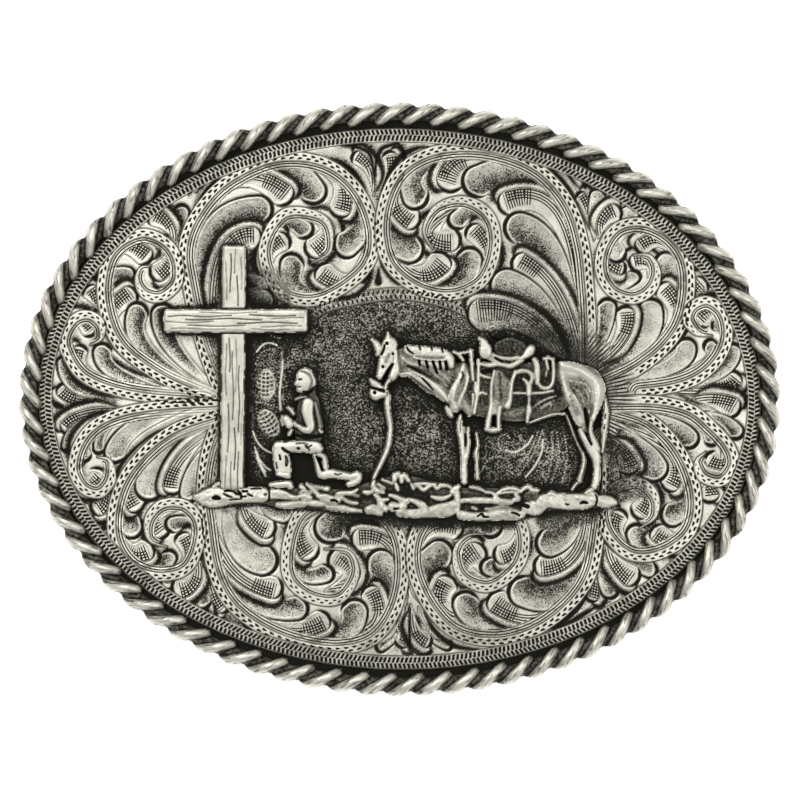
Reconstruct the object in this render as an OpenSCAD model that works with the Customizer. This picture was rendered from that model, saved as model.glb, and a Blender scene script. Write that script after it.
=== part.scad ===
// Western belt buckle, lying on its back: an oval cast face with raised scrollwork, a rope edge,
// a raised group of a cross, a kneeling rider and a saddled horse on a strip of ground, and behind
// the face a fixed belt loop and a belt post. Millimetres, +Z up, X along the oval's long axis,
// and the origin on the floor under the middle of the face.

/* [Face] */
// Width of the whole oval over the rope edge
face_w = 95.6; // [80:0.1:110]
// Height of the whole oval over the rope edge
face_h = 74.2; // [62:0.1:86]
// Radius that the face is bent to across its width
bend_radius = 250; // [200:5:600]
// Thickness of the face behind its relief
face_t = 1.8; // [1.4:0.1:3]
// Height of the raised scrollwork and borders
relief_h = 0.45; // [0.3:0.05:0.7]

/* [Rope edge] */
// Half of the rope's width
rope_r = 1.5; // [1.2:0.05:1.7]
// Twists that show around the edge
rope_lobes = 74; // [60:1:90]
// Depth of the grooves between twists, as a share of the rope's half width
rope_groove = 0.26; // [0.1:0.02:0.4]

/* [Raised group] */
// Height of the cross above the face
cross_h = 2.0; // [1.2:0.1:2.6]
// Width of the cross's two bars
cross_bar = 2.95; // [2.4:0.05:3.4]
// Height of the strip of ground above the face
ground_h = 1.7; // [1:0.1:2.4]
// Share of their charted height that the rider and the horse stand out
figure_relief = 1.0; // [0.7:0.05:1.2]

/* [Back] */
// Width of belt that passes through the loop
belt_w = 38; // [32:1:40]
// Clear height between the loop's bar and the face
loop_gap = 6.5; // [5.5:0.1:9]
// Wire diameter of the loop
loop_wire = 3.0; // [2.5:0.1:4]
// Distance of the loop's bar from the middle of the face
loop_x = 28; // [24:0.5:31]
// Distance of the post from the middle of the face
post_x = 25; // [20:0.5:29]
// Diameter of the post's shank
post_d = 3.2; // [2.6:0.1:4]
// Diameter of the post's head
post_head_d = 5.2; // [4.6:0.1:6]

/* [Hidden] */
silver = "#c9c6bb";
dark_silver = "#7d7b74";

// The ornament is charted on a sheet of 800 by 800 squares, eight to a millimetre, with Y down.
// The sheet's middle is the middle of the face, and the face covers this part of it.
chart_mid = [400, 399];
chart_w = 764.8;
chart_h = 593.6;
// Turn that squares the charted ornament to the oval's long axis
chart_turn = 0.88;

// How far the plate's own edge and the milled border lie inside the whole oval, and how far the
// scrollwork runs in under that border
edge_inset = 0.45;
border_out = 3.05;
border_in = 4.65;
border_lap = 0.25;
arc_steps = 96;
bend_facets = 180;

// Gap that keeps the pieces apart, and the step around the cross's top
clear = 0.06;
bar_ease = 0.3;
drop_at_loop = bend_radius - sqrt(pow(bend_radius, 2) - pow(loop_x, 2));
face_z = loop_wire + loop_gap + face_t + drop_at_loop;

// A point of the chart on the face, in millimetres
function flat(x, y) = [(x - chart_mid[0]) * face_w / chart_w, (chart_mid[1] - y) * face_h / chart_h];
function turned(p) = [p[0] * cos(chart_turn) - p[1] * sin(chart_turn),
                      p[0] * sin(chart_turn) + p[1] * cos(chart_turn)];
function at(x, y) = turned(flat(x, y));
unit = face_w / chart_w;

// Height of the bent face, raised by h, at a distance x from the middle
function face_height(x, h = 0) = face_z - bend_radius + sqrt(pow(bend_radius + h, 2) - pow(x, 2));
function oval(inset) = [for (i = [0 : arc_steps - 1])
    [(face_w / 2 - inset) * cos(i * 360 / arc_steps), (face_h / 2 - inset) * sin(i * 360 / arc_steps)]];

// Stems of the scrolls, each a list of chart points from its root to its eye: large, middle and
// small scroll of the top left quarter, then of the top right, bottom left and bottom right
SCROLLS = [
    [[213, 395], [200, 340], [188, 290], [183, 250], [195, 215], [225, 181], [275, 158], [325, 162],
     [360, 190], [376, 235], [365, 272], [320, 301], [280, 293], [263, 250], [285, 213], [325, 219],
     [331, 250], [312, 263]],
    [[210, 400], [160, 378], [118, 345], [102, 300], [106, 262], [135, 236], [165, 240], [180, 272],
     [160, 299], [137, 285], [143, 268]],
    [[205, 402], [150, 398], [110, 390], [80, 375], [64, 348], [70, 320], [90, 313], [103, 330],
     [92, 345]],
    [[592, 385], [592, 330], [590, 290], [585, 245], [572, 205], [545, 172], [510, 154], [470, 147],
     [430, 152], [400, 170], [384, 200], [380, 235], [390, 268], [420, 291], [455, 296], [485, 280],
     [497, 245], [490, 215], [465, 200], [437, 207], [424, 230], [433, 249]],
    [[610, 385], [640, 370], [668, 347], [685, 320], [691, 285], [686, 255], [668, 233], [642, 222],
     [617, 227], [602, 248], [600, 273], [612, 293], [634, 300], [652, 290], [658, 272], [650, 256],
     [634, 255]],
    [[640, 393], [675, 388], [702, 377], [721, 358], [729, 335], [724, 312], [708, 300], [692, 306],
     [687, 320], [697, 333], [712, 336]],
    [[205, 430], [203, 475], [204, 520], [212, 570], [230, 605], [262, 630], [300, 645], [340, 650],
     [375, 640], [397, 610], [405, 570], [398, 530], [370, 505], [330, 500], [300, 512], [287, 545],
     [288, 578], [310, 598], [340, 600], [357, 575], [350, 552], [325, 549]],
    [[220, 412], [175, 428], [145, 450], [122, 480], [112, 515], [115, 545], [132, 568], [160, 577],
     [187, 570], [200, 545], [200, 520], [185, 504], [162, 504], [148, 520], [150, 540], [167, 547]],
    [[215, 402], [165, 405], [125, 411], [95, 424], [78, 445], [73, 470], [83, 489], [100, 494],
     [112, 480], [110, 461], [98, 457]],
    [[605, 440], [606, 485], [601, 530], [592, 575], [570, 607], [535, 632], [495, 642], [455, 634],
     [428, 607], [412, 570], [414, 535], [435, 510], [480, 500], [515, 512], [526, 540], [518, 568],
     [490, 588], [462, 578], [455, 552], [467, 536], [485, 534]],
    [[612, 405], [650, 418], [678, 445], [694, 478], [698, 510], [688, 537], [660, 555], [630, 556],
     [607, 535], [601, 508], [615, 487], [640, 482], [656, 497], [655, 517], [640, 528]],
    [[605, 400], [655, 400], [690, 408], [712, 425], [730, 445], [735, 465], [722, 482], [703, 478],
     [697, 462], [706, 452]],
];
stem_half = 3.2;

// Leaves of the scrolls, in chart squares. Columns: root x, root y, middle x, middle y, head x,
// head y, head radius, finish (0 sanded, 1 lined)
LEAVES = [
    // top left, large scroll
    [205, 335, 208, 240, 262, 208, 12, 0], [205, 215, 240, 180, 285, 195, 10, 1],
    [250, 166, 290, 168, 316, 194, 11, 0], [300, 164, 337, 178, 341, 210, 9, 1],
    [345, 182, 363, 218, 345, 248, 11, 0], [366, 245, 352, 280, 323, 273, 9, 1],
    [340, 291, 300, 290, 291, 262, 10, 0], [285, 288, 268, 262, 283, 240, 8, 1],
    [212, 340, 222, 262, 254, 236, 9, 1], [272, 255, 282, 224, 307, 230, 8, 0],
    [295, 211, 327, 226, 314, 250, 9, 1],
    // top left, middle scroll
    [107, 290, 118, 250, 146, 256, 8, 1], [104, 312, 110, 280, 130, 274, 7, 0],
    [170, 385, 112, 335, 130, 294, 8, 1], [215, 395, 148, 352, 137, 310, 9, 0],
    [218, 390, 175, 350, 162, 312, 10, 0], [145, 238, 171, 252, 158, 274, 8, 1],
    // top left, small scroll and fillers
    [180, 393, 120, 375, 101, 350, 8, 0], [150, 393, 92, 377, 80, 350, 6, 1],
    [68, 340, 75, 320, 91, 330, 7, 1], [125, 402, 98, 400, 70, 396, 8, 1],
    [176, 243, 170, 228, 155, 216, 8, 1], [179, 240, 181, 226, 182, 210, 7, 0],
    [100, 312, 97, 302, 90, 291, 7, 1],
    // top right, large scroll
    [577, 350, 556, 262, 517, 225, 13, 0], [583, 330, 560, 222, 507, 202, 10, 1],
    [585, 290, 545, 187, 474, 181, 13, 0], [545, 172, 478, 160, 448, 181, 11, 1],
    [455, 153, 418, 172, 415, 200, 11, 0], [412, 163, 396, 196, 412, 221, 9, 1],
    [388, 200, 391, 235, 413, 251, 12, 0], [395, 262, 420, 274, 442, 262, 10, 1],
    [420, 283, 458, 284, 471, 257, 11, 0], [462, 287, 488, 262, 474, 231, 8, 1],
    [490, 250, 478, 214, 455, 221, 8, 0], [455, 205, 432, 232, 452, 241, 10, 1],
    [575, 360, 548, 272, 513, 247, 7, 0], [585, 380, 562, 305, 520, 262, 9, 1],
    [575, 372, 545, 312, 503, 283, 14, 0], [570, 375, 530, 327, 480, 307, 13, 1],
    // top right, middle scroll
    [592, 365, 604, 332, 608, 305, 8, 0], [597, 368, 620, 340, 626, 313, 8, 1],
    [602, 372, 643, 342, 651, 308, 11, 0], [615, 375, 671, 330, 665, 289, 8, 1],
    [655, 352, 685, 300, 664, 260, 9, 0], [688, 285, 668, 245, 641, 246, 7, 1],
    [650, 229, 618, 235, 617, 256, 8, 0], [610, 240, 607, 258, 621, 269, 6, 1],
    [606, 275, 618, 286, 636, 276, 6, 0], [648, 288, 651, 266, 635, 262, 7, 1],
    // top right, small scroll and fillers
    [620, 382, 672, 366, 688, 346, 9, 0], [640, 388, 703, 366, 711, 344, 6, 0],
    [722, 335, 716, 312, 700, 318, 9, 1], [720, 345, 724, 332, 715, 325, 4, 1],
    [690, 385, 728, 366, 733, 351, 6, 0], [670, 393, 715, 387, 735, 379, 8, 1],
    [690, 318, 692, 298, 701, 284, 8, 1], [693, 308, 699, 297, 711, 292, 6, 0],
    [599, 238, 603, 222, 615, 212, 8, 1], [604, 236, 616, 222, 634, 212, 8, 0],
    [597, 238, 594, 215, 592, 193, 6, 0],
    // bottom left, large scroll
    [225, 505, 238, 545, 266, 562, 13, 0], [228, 505, 243, 532, 270, 547, 7, 0],
    [212, 510, 228, 562, 275, 589, 9, 1], [240, 500, 250, 517, 268, 529, 9, 1],
    [262, 498, 270, 508, 286, 511, 11, 0], [212, 560, 250, 601, 300, 609, 10, 0],
    [225, 595, 275, 627, 323, 621, 9, 1], [270, 632, 335, 636, 357, 609, 11, 0],
    [320, 645, 370, 627, 371, 592, 8, 1], [372, 640, 398, 600, 379, 560, 12, 0],
    [398, 590, 391, 550, 359, 539, 9, 1], [385, 520, 355, 512, 327, 530, 13, 0],
    [330, 505, 303, 525, 309, 553, 9, 1], [295, 540, 301, 572, 328, 574, 8, 0],
    [325, 592, 351, 577, 338, 558, 10, 1],
    // bottom left, middle scroll
    [222, 435, 197, 465, 188, 496, 8, 0], [220, 425, 186, 455, 172, 488, 8, 1],
    [220, 418, 165, 455, 148, 490, 12, 0], [215, 412, 142, 462, 135, 506, 8, 1],
    [125, 480, 119, 510, 134, 529, 10, 0], [118, 525, 128, 549, 147, 551, 9, 1],
    [135, 562, 157, 569, 171, 556, 7, 0], [165, 572, 187, 561, 183, 538, 7, 1],
    [192, 555, 190, 527, 171, 524, 7, 0], [185, 508, 158, 513, 160, 531, 9, 1],
    // bottom left, small scroll and fillers
    [200, 405, 140, 425, 113, 455, 9, 0], [190, 403, 120, 418, 98, 450, 5, 0],
    [130, 412, 90, 432, 84, 457, 6, 1], [78, 465, 85, 484, 100, 477, 9, 1],
    [100, 415, 76, 427, 66, 448, 5, 0], [125, 408, 88, 415, 67, 428, 7, 1],
    [110, 490, 106, 500, 98, 508, 8, 1], [200, 560, 195, 579, 180, 589, 9, 1],
    [195, 570, 182, 579, 165, 583, 6, 0], [200, 560, 201, 585, 203, 604, 7, 0],
    [205, 555, 212, 585, 224, 607, 7, 1], [215, 590, 228, 613, 250, 633, 5, 0],
    // bottom right, large scroll
    [594, 520, 567, 588, 520, 592, 13, 0], [590, 505, 575, 550, 542, 567, 9, 1],
    [582, 500, 570, 530, 547, 545, 12, 0], [592, 570, 547, 613, 496, 602, 10, 1],
    [560, 614, 492, 622, 463, 602, 11, 0], [515, 632, 452, 614, 446, 583, 9, 1],
    [440, 615, 418, 582, 442, 551, 12, 0], [417, 570, 425, 535, 456, 528, 9, 1],
    [450, 512, 475, 512, 493, 528, 10, 0], [519, 520, 517, 543, 501, 556, 8, 1],
    [522, 538, 511, 566, 487, 567, 8, 0], [492, 582, 465, 570, 477, 552, 10, 1],
    [600, 590, 590, 608, 571, 625, 5, 0],
    // bottom right, middle scroll
    [610, 435, 622, 450, 630, 468, 8, 1], [608, 445, 612, 460, 615, 478, 6, 0],
    [618, 430, 642, 450, 656, 471, 12, 0], [622, 422, 668, 452, 671, 485, 8, 1],
    [688, 475, 690, 500, 670, 517, 10, 0], [695, 515, 684, 541, 657, 533, 8, 1],
    [680, 547, 651, 551, 635, 532, 9, 0], [660, 553, 622, 540, 619, 515, 7, 1],
    [618, 490, 645, 492, 640, 512, 8, 1],
    // bottom right, small scroll and fillers
    [630, 412, 670, 425, 691, 440, 9, 0], [640, 405, 690, 415, 713, 441, 6, 0],
    [722, 445, 725, 462, 711, 459, 7, 1], [700, 412, 723, 420, 738, 433, 7, 0],
    [690, 398, 712, 400, 733, 408, 9, 1], [708, 480, 709, 488, 710, 496, 8, 1],
    [605, 545, 615, 562, 632, 577, 9, 1], [615, 552, 632, 563, 652, 571, 7, 0],
    [602, 550, 604, 574, 611, 592, 8, 0], [603, 550, 598, 575, 592, 597, 6, 1],
    // top and bottom middle sprays
    [379, 200, 381, 175, 390, 157, 9, 1], [383, 190, 390, 163, 412, 148, 6, 0],
    [376, 200, 374, 175, 365, 157, 9, 1], [372, 190, 366, 163, 345, 150, 6, 0],
    [379, 252, 377, 270, 371, 281, 4, 0], [379, 252, 383, 270, 389, 281, 5, 0],
    [409, 600, 408, 620, 400, 641, 9, 1], [405, 605, 402, 633, 380, 647, 6, 0],
    [412, 600, 415, 620, 426, 640, 9, 1], [417, 605, 430, 635, 455, 645, 7, 0],
    // right of the cross
    [247, 286, 254, 289, 259, 291, 8, 0], [247, 303, 256, 304, 266, 305, 11, 0],
    [247, 366, 256, 363, 268, 358, 12, 0], [247, 394, 255, 391, 266, 385, 10, 1],
    [247, 424, 256, 424, 266, 420, 11, 1], [248, 442, 258, 455, 271, 468, 6, 1],
];

// The milled arch over the dark ground behind the group
ARCH = [[282, 352], [296, 330], [322, 308], [360, 298], [400, 294], [440, 300], [474, 314], [500, 334]];
arch_half = 4.5;

// The cross: middle and ends of its upright, then of its arm
cross_mid_x = 234;
cross_top = 245;
cross_foot = 492;
arm_mid_y = 321;
arm_left = 164;
arm_right = 308;

// The strip of ground. Columns: x, upper edge, lower edge
GROUND = [
    [195, 499, 501], [205, 491, 508], [230, 488, 504], [260, 489, 503], [285, 490, 507], [310, 486, 509],
    [335, 489, 512], [360, 488, 513], [378, 480, 516], [400, 475, 517], [420, 483, 518], [450, 486, 519],
    [480, 488, 520], [510, 488, 520], [530, 487, 519], [550, 492, 513], [575, 494, 510], [600, 494, 508],
    [612, 497, 507], [618, 500, 503],
];
ground_step = 7;
ground_rows = 5;
// Height at its two edges as a share of the middle, roundness between them, and unevenness
ground_edge = 0.4;
ground_dome = 0.6;
ground_rough = 0.1;

// Limbs of the rider and of the horse, each a tapered form between two round ends. Columns:
// first x, y and radius, second x, y and radius, height over the face in millimetres
RIDER = [
    [306, 380, 9, 308, 382, 9, 2.2],     // head
    [308, 388, 5, 308, 397, 6, 1.4],     // neck
    [309, 404, 11, 309, 432, 12, 2.0],   // back and coat
    [307, 403, 6, 310, 427, 5.5, 2.5],   // upper arm
    [309, 428, 4.5, 292, 423, 3.5, 2.5], // forearm
    [289, 419, 4, 290, 424, 4, 2.4],     // hands
    [280, 446, 6.5, 317, 446, 7, 2.2],   // raised thigh
    [281, 449, 7.5, 284, 473, 7.5, 2.1], // upright shin
    [274, 483, 3, 291, 483, 3.5, 1.7],   // standing foot
    [317, 450, 7, 322, 471, 6, 1.8],     // kneeling thigh
    [325, 474, 5.5, 352, 474, 5, 1.8],   // kneeling shin
    [357, 475, 4.5, 349, 483, 3.5, 1.7], // back foot
];
HORSE = [
    [388, 348, 9, 377, 388, 5, 1.9],      // head
    [376, 393, 6, 376, 385, 5.5, 2.0],    // muzzle
    [395, 360, 6, 394, 372, 5.5, 1.8],    // cheek
    [389, 333, 1.6, 388, 342, 4, 1.6],    // near ear
    [375, 341, 1.6, 379, 350, 3.5, 1.4],  // far ear
    [402, 359, 12, 440, 378, 21, 1.9],    // neck
    [409, 346, 4, 451, 358, 5.5, 2.3],    // mane
    [452, 398, 12, 462, 385, 24, 2.2],    // shoulder
    [478, 391, 32, 548, 389, 30, 2.2],    // barrel
    [572, 388, 27, 578, 388, 26, 2.3],    // rump
    [461, 410, 8, 464, 443, 6, 1.8],      // near fore leg
    [464, 445, 5, 464, 482, 4, 1.6],
    [474, 408, 7, 476, 440, 4, 1.3],      // far fore leg
    [476, 440, 3.5, 477, 479, 3, 1.2],
    [574, 402, 12, 588, 436, 6, 1.9],     // near hind leg
    [592, 412, 9, 593, 440, 6, 1.9],
    [593, 440, 6.5, 597, 462, 4.5, 1.8],
    [597, 462, 4.5, 596, 489, 4.5, 1.6],
    [570, 410, 8, 582, 448, 3.5, 1.2],    // far hind leg
    [583, 452, 3, 579, 484, 3, 1.1],
    [604, 396, 2.5, 605, 424, 4, 1.3],    // tail
    [605, 424, 4, 602, 452, 2, 1.2],
    [483, 344, 3, 486, 354, 7, 3.2],      // saddle horn
    [486, 362, 5, 524, 360, 5, 2.9],      // saddle seat
    [524, 358, 5, 531, 350, 4.5, 3.1],    // cantle
    [498, 374, 7, 504, 404, 6.5, 2.8],    // fender
    [494, 404, 4, 493, 424, 6, 2.7],      // stirrup
    [538, 361, 3.5, 541, 382, 4, 2.6],    // rear straps
    [553, 361, 3, 551, 382, 4, 2.6],
    [528, 376, 3.5, 529, 416, 3, 2.6],    // rear girth
    [380, 391, 3, 391, 426, 3, 1.5],      // reins
    [391, 426, 3, 388, 446, 3, 1.3],
    [388, 446, 3, 376, 472, 2.5, 1.2],
];

// A leaf's middle line is the quadratic through its root, middle and head. It widens from a share
// of its head's radius at the root to the whole of it.
leaf_root = 0.12;
leaf_swell = 0.8;
function leaf_at(l, t) = let (a = (1 - t) * (1 - 2 * t), b = 4 * t * (1 - t), c = t * (2 * t - 1))
    [l[0] * a + l[2] * b + l[4] * c, l[1] * a + l[3] * b + l[5] * c];
function leaf_way(l, t) = let (e = leaf_at(l, t + 0.01) - leaf_at(l, t - 0.01)) e / norm(e);
function leaf_side(l, t, side) =
    let (d = leaf_way(l, t), w = l[6] * (leaf_root + (1 - leaf_root) * pow(t, leaf_swell)))
    leaf_at(l, t) + side * w * [-d[1], d[0]];
function leaf_outline(l, n = 5, cap = 3) = let (d = leaf_way(l, 1), a = atan2(d[1], d[0]))
    [for (i = [0 : n]) leaf_side(l, i / n, 1),
     for (i = [1 : cap - 1]) let (b = a + 90 - i * 180 / cap) leaf_at(l, 1) + l[6] * [cos(b), sin(b)],
     for (i = [n : -1 : 0]) leaf_side(l, i / n, -1)];

// A smooth curve through a scroll's points, and the ribbon of stem that follows it
function curve_at(p, i, t) =
    let (a = p[max(i - 1, 0)], b = p[i], c = p[i + 1], d = p[min(i + 2, len(p) - 1)])
    0.5 * (2 * b + (c - a) * t + (2 * a - 5 * b + 4 * c - d) * t * t + (3 * b - a - 3 * c + d) * t * t * t);
function curve(p, n) = [for (i = [0 : len(p) - 2], k = [0 : n - 1]) curve_at(p, i, k / n), p[len(p) - 1]];
function beside(c, i, w) = let (d = c[min(i + 1, len(c) - 1)] - c[max(i - 1, 0)])
    c[i] + w * [-d[1], d[0]] / norm(d);
function ribbon(c, w) = [for (i = [0 : len(c) - 1]) beside(c, i, w),
                         for (i = [len(c) - 1 : -1 : 0]) beside(c, i, -w)];

// The outline of a tapered limb between two round ends
function limb_outline(x0, y0, r0, x1, y1, r1, n = 4) = let (a = atan2(y1 - y0, x1 - x0))
    [for (i = [0 : n]) [x0, y0] + r0 * [cos(a + 90 + i * 180 / n), sin(a + 90 + i * 180 / n)],
     for (i = [0 : n]) [x1, y1] + r1 * [cos(a - 90 + i * 180 / n), sin(a - 90 + i * 180 / n)]];

module charted(points) polygon([for (p = points) at(p[0], p[1])]);

// The bent shell between two heights over the face
module bent(low, high) translate([0, 0, face_z - bend_radius]) rotate([90, 0, 0]) difference() {
    cylinder(r = bend_radius + high, h = 2 * face_h, center = true, $fn = bend_facets);
    cylinder(r = bend_radius + low, h = 3 * face_h, center = true, $fn = bend_facets);
}
module raised(low, high) intersection() {
    linear_extrude(2 * face_z) children();
    bent(low, high);
}

// Leaves, each cut back from the ones that lie over it, with a groove between
leaf_groove = 0.28;
leaf_reach = 6;
module leaves_2d() for (i = [0 : len(LEAVES) - 1]) difference() {
    charted(leaf_outline(LEAVES[i]));
    offset(delta = leaf_groove) for (j = [i + 1 : 1 : min(i + leaf_reach, len(LEAVES) - 1)])
        charted(leaf_outline(LEAVES[j]));
}
module stems_2d() for (s = SCROLLS) charted(ribbon(curve(s, 2), stem_half));
module ring_2d(outer, inner) difference() {
    polygon(oval(outer));
    polygon(oval(inner));
}
module arch_2d() charted(ribbon(curve(ARCH, 2), arch_half));
module cross_2d(grow = 0) {
    half = cross_bar / 2 / unit + grow / unit;
    charted([[cross_mid_x - half, cross_top - grow / unit], [cross_mid_x + half, cross_top - grow / unit],
             [cross_mid_x + half, cross_foot], [cross_mid_x - half, cross_foot]]);
    charted([[arm_left - grow / unit, arm_mid_y - half], [arm_right + grow / unit, arm_mid_y - half],
             [arm_right + grow / unit, arm_mid_y + half], [arm_left - grow / unit, arm_mid_y + half]]);
}
module ground_2d() charted([for (g = GROUND) [g[0], g[1]],
                            for (i = [len(GROUND) - 1 : -1 : 0]) [GROUND[i][0], GROUND[i][2]]]);
module limbs_2d(limbs) for (b = limbs) charted(limb_outline(b[0], b[1], b[2], b[3], b[4], b[5]));
seat_gap = 0.3;
module group_2d() offset(delta = seat_gap) {
    cross_2d();
    ground_2d();
    limbs_2d(RIDER);
    limbs_2d(HORSE);
}
// Everything raised on the face, drawn in a little so that no two outlines only touch
raised_ease = 0.01;
module relief_2d() offset(delta = -raised_ease) difference() {
    union() {
        intersection() {
            union() {
                leaves_2d();
                stems_2d();
            }
            polygon(oval(border_in + border_lap));
        }
        ring_2d(border_out, border_in);
        arch_2d();
    }
    group_2d();
}

module plate() color(dark_silver) {
    raised(-face_t, 0) polygon(oval(edge_inset));
    raised(-face_t / 2, relief_h) relief_2d();
}

// The cross is stepped around its top and stops short of the ground
module cross() color(silver) for (ease = [0, bar_ease])
    raised(clear, cross_h - bar_ease + ease) difference() {
        cross_2d(-ease);
        offset(delta = clear) ground_2d();
    }

// The ground is a closed skin over a grid of columns along it and rows across it
function edge(x, column) = lookup(x, [for (g = GROUND) [g[0], g[column]]]);
function ground_column(i) = min(GROUND[0][0] + i * ground_step, GROUND[len(GROUND) - 1][0]);
function ground_rise(i, v) = ground_h * (ground_edge + (1 - ground_edge) * pow(sin(180 * v), ground_dome))
    * (1 - ground_rough * (1.6 - sin(i * 83 + v * 400) - 0.6 * sin(i * 211)));
function ground_point(i, j, top) = let (x = ground_column(i), v = j / ground_rows,
    p = at(x, edge(x, 1) * (1 - v) + edge(x, 2) * v))
    [p[0], p[1], face_height(p[0], clear) + (top ? ground_rise(i, v) : 0)];
module ground() {
    columns = ceil((GROUND[len(GROUND) - 1][0] - GROUND[0][0]) / ground_step);
    row = ground_rows + 1;
    layer = (columns + 1) * row;
    function spot(i, j, top) = (top ? 0 : layer) + i * row + j;
    color(silver) polyhedron(
        [for (top = [true, false], i = [0 : columns], j = [0 : ground_rows]) ground_point(i, j, top)],
        [for (i = [0 : columns - 1], j = [0 : ground_rows - 1])
            [spot(i, j, true), spot(i + 1, j, true), spot(i + 1, j + 1, true), spot(i, j + 1, true)],
         for (i = [0 : columns - 1], j = [0 : ground_rows - 1])
            [spot(i, j, false), spot(i, j + 1, false), spot(i + 1, j + 1, false), spot(i + 1, j, false)],
         for (i = [0 : columns - 1])
            [spot(i, 0, false), spot(i + 1, 0, false), spot(i + 1, 0, true), spot(i, 0, true)],
         for (i = [0 : columns - 1])
            [spot(i, ground_rows, true), spot(i + 1, ground_rows, true), spot(i + 1, ground_rows, false),
             spot(i, ground_rows, false)],
         for (j = [0 : ground_rows - 1])
            [spot(0, j, true), spot(0, j + 1, true), spot(0, j + 1, false), spot(0, j, false)],
         for (j = [0 : ground_rows - 1])
            [spot(columns, j, false), spot(columns, j + 1, false), spot(columns, j + 1, true),
             spot(columns, j, true)]],
        convexity = 6);
}

// Half-round limbs that lie on the bent face and stop short of the ground
limb_facets = 10;
module lump(x, y, r, h) {
    p = at(x, y);
    translate([p[0], p[1], face_height(p[0])]) scale([r * unit, r * unit, h * figure_relief])
        sphere(1, $fn = limb_facets);
}
module figure(limbs) difference() {
    for (b = limbs) hull() {
        lump(b[0], b[1], b[2], b[6]);
        lump(b[3], b[4], b[5], b[6]);
    }
    translate([0, 0, face_z - bend_radius]) rotate([90, 0, 0])
        cylinder(r = bend_radius + clear, h = 2 * face_h, center = true, $fn = bend_facets);
    linear_extrude(2 * face_z) offset(delta = clear) ground_2d();
}
module kneeling_rider() color(silver) figure(RIDER);
module saddled_horse() color(silver) figure(HORSE);

// The rope is a ring of stations, four to a twist. Its grooves wind once around the section in
// two twists, so each side of the section starts one station further on.
rope_sides = 8;
rope_stations = 4 * rope_lobes;
rope_flat = 0.35;
rope_shoulder = 0.95;
rope_swell = [1 - rope_groove, rope_shoulder, 1, rope_shoulder];
rope_a = face_w / 2 - rope_r;
rope_b = face_h / 2 - rope_r;
// Even spacing along the oval, to first order in its stretch
rope_even = 90 / PI * (pow(rope_a, 2) - pow(rope_b, 2)) / (2 * (pow(rope_a, 2) + pow(rope_b, 2)));
function rope_angle(s) = let (a = s * 360 / rope_stations) a + rope_even * sin(2 * a);
function rope_point(i, j) = let (a = rope_angle(i + j), q = j * 360 / rope_sides,
    r = rope_r * rope_swell[i % 4],
    n = [cos(a) / rope_a, sin(a) / rope_b], out = n / norm(n),
    p = [rope_a * cos(a), rope_b * sin(a)] + r * cos(q) * out)
    [p[0], p[1], face_height(p[0], clear) + rope_flat * rope_r + max(r * sin(q), -rope_flat * rope_r)];
module rope_edge() {
    function spot(i, j) = j < rope_sides ? (i % rope_stations) * rope_sides + j
                                         : ((i + rope_sides) % rope_stations) * rope_sides;
    color(silver) polyhedron(
        [for (i = [0 : rope_stations - 1], j = [0 : rope_sides - 1]) rope_point(i, j)],
        [for (i = [0 : rope_stations - 1], j = [0 : rope_sides - 1])
            each [[spot(i, j), spot(i, j + 1), spot(i + 1, j + 1)],
                  [spot(i, j), spot(i + 1, j + 1), spot(i + 1, j)]]],
        convexity = 10);
}

// What is fastened behind the face ends at its bent back
module behind() intersection() {
    children();
    translate([0, 0, face_z - bend_radius]) rotate([90, 0, 0])
        cylinder(r = bend_radius - face_t - clear, h = 2 * face_h, center = true, $fn = bend_facets);
}
loop_clear = 1.0;
leg_y = (belt_w + 2 * loop_clear + loop_wire) / 2;
pad_d = 1.5 * loop_wire;
pad_t = 0.8;
module belt_loop() color(silver) behind() {
    translate([loop_x, 0, loop_wire / 2]) rotate([90, 0, 0])
        cylinder(d = loop_wire, h = 2 * leg_y, center = true, $fn = 48);
    for (side = [-1, 1]) translate([loop_x, side * leg_y, loop_wire / 2]) {
        sphere(d = loop_wire, $fn = 48);
        cylinder(d = loop_wire, h = face_z, $fn = 48);
        translate([0, 0, face_height(loop_x, -face_t) - loop_wire / 2 - pad_t - clear])
            cylinder(d = pad_d, h = 2 * pad_t, $fn = 48);
    }
}
post_head_t = 1.8;
post_round = 0.5;
post_foot_d = 1.9 * post_d;
module belt_post() color(silver) behind() translate([-post_x, 0, 0]) rotate_extrude($fn = 64)
    polygon([[0, 0], [post_head_d / 2 - post_round, 0], [post_head_d / 2, post_round],
             [post_head_d / 2, post_head_t - post_round], [post_d / 2, post_head_t],
             [post_d / 2, face_height(post_x, -face_t) - pad_t - clear],
             [post_foot_d / 2, face_height(post_x, -face_t) - pad_t - clear],
             [post_foot_d / 2, face_z], [0, face_z]]);

plate();
rope_edge();
ground();
cross();
kneeling_rider();
saddled_horse();
belt_loop();
belt_post();
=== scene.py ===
"""The looks of an oval western belt buckle: an engraved face in aged silver, a rope edge, a raised
group of a cross, a kneeling rider and a saddled horse, and the plain fittings behind."""

import math

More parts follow.
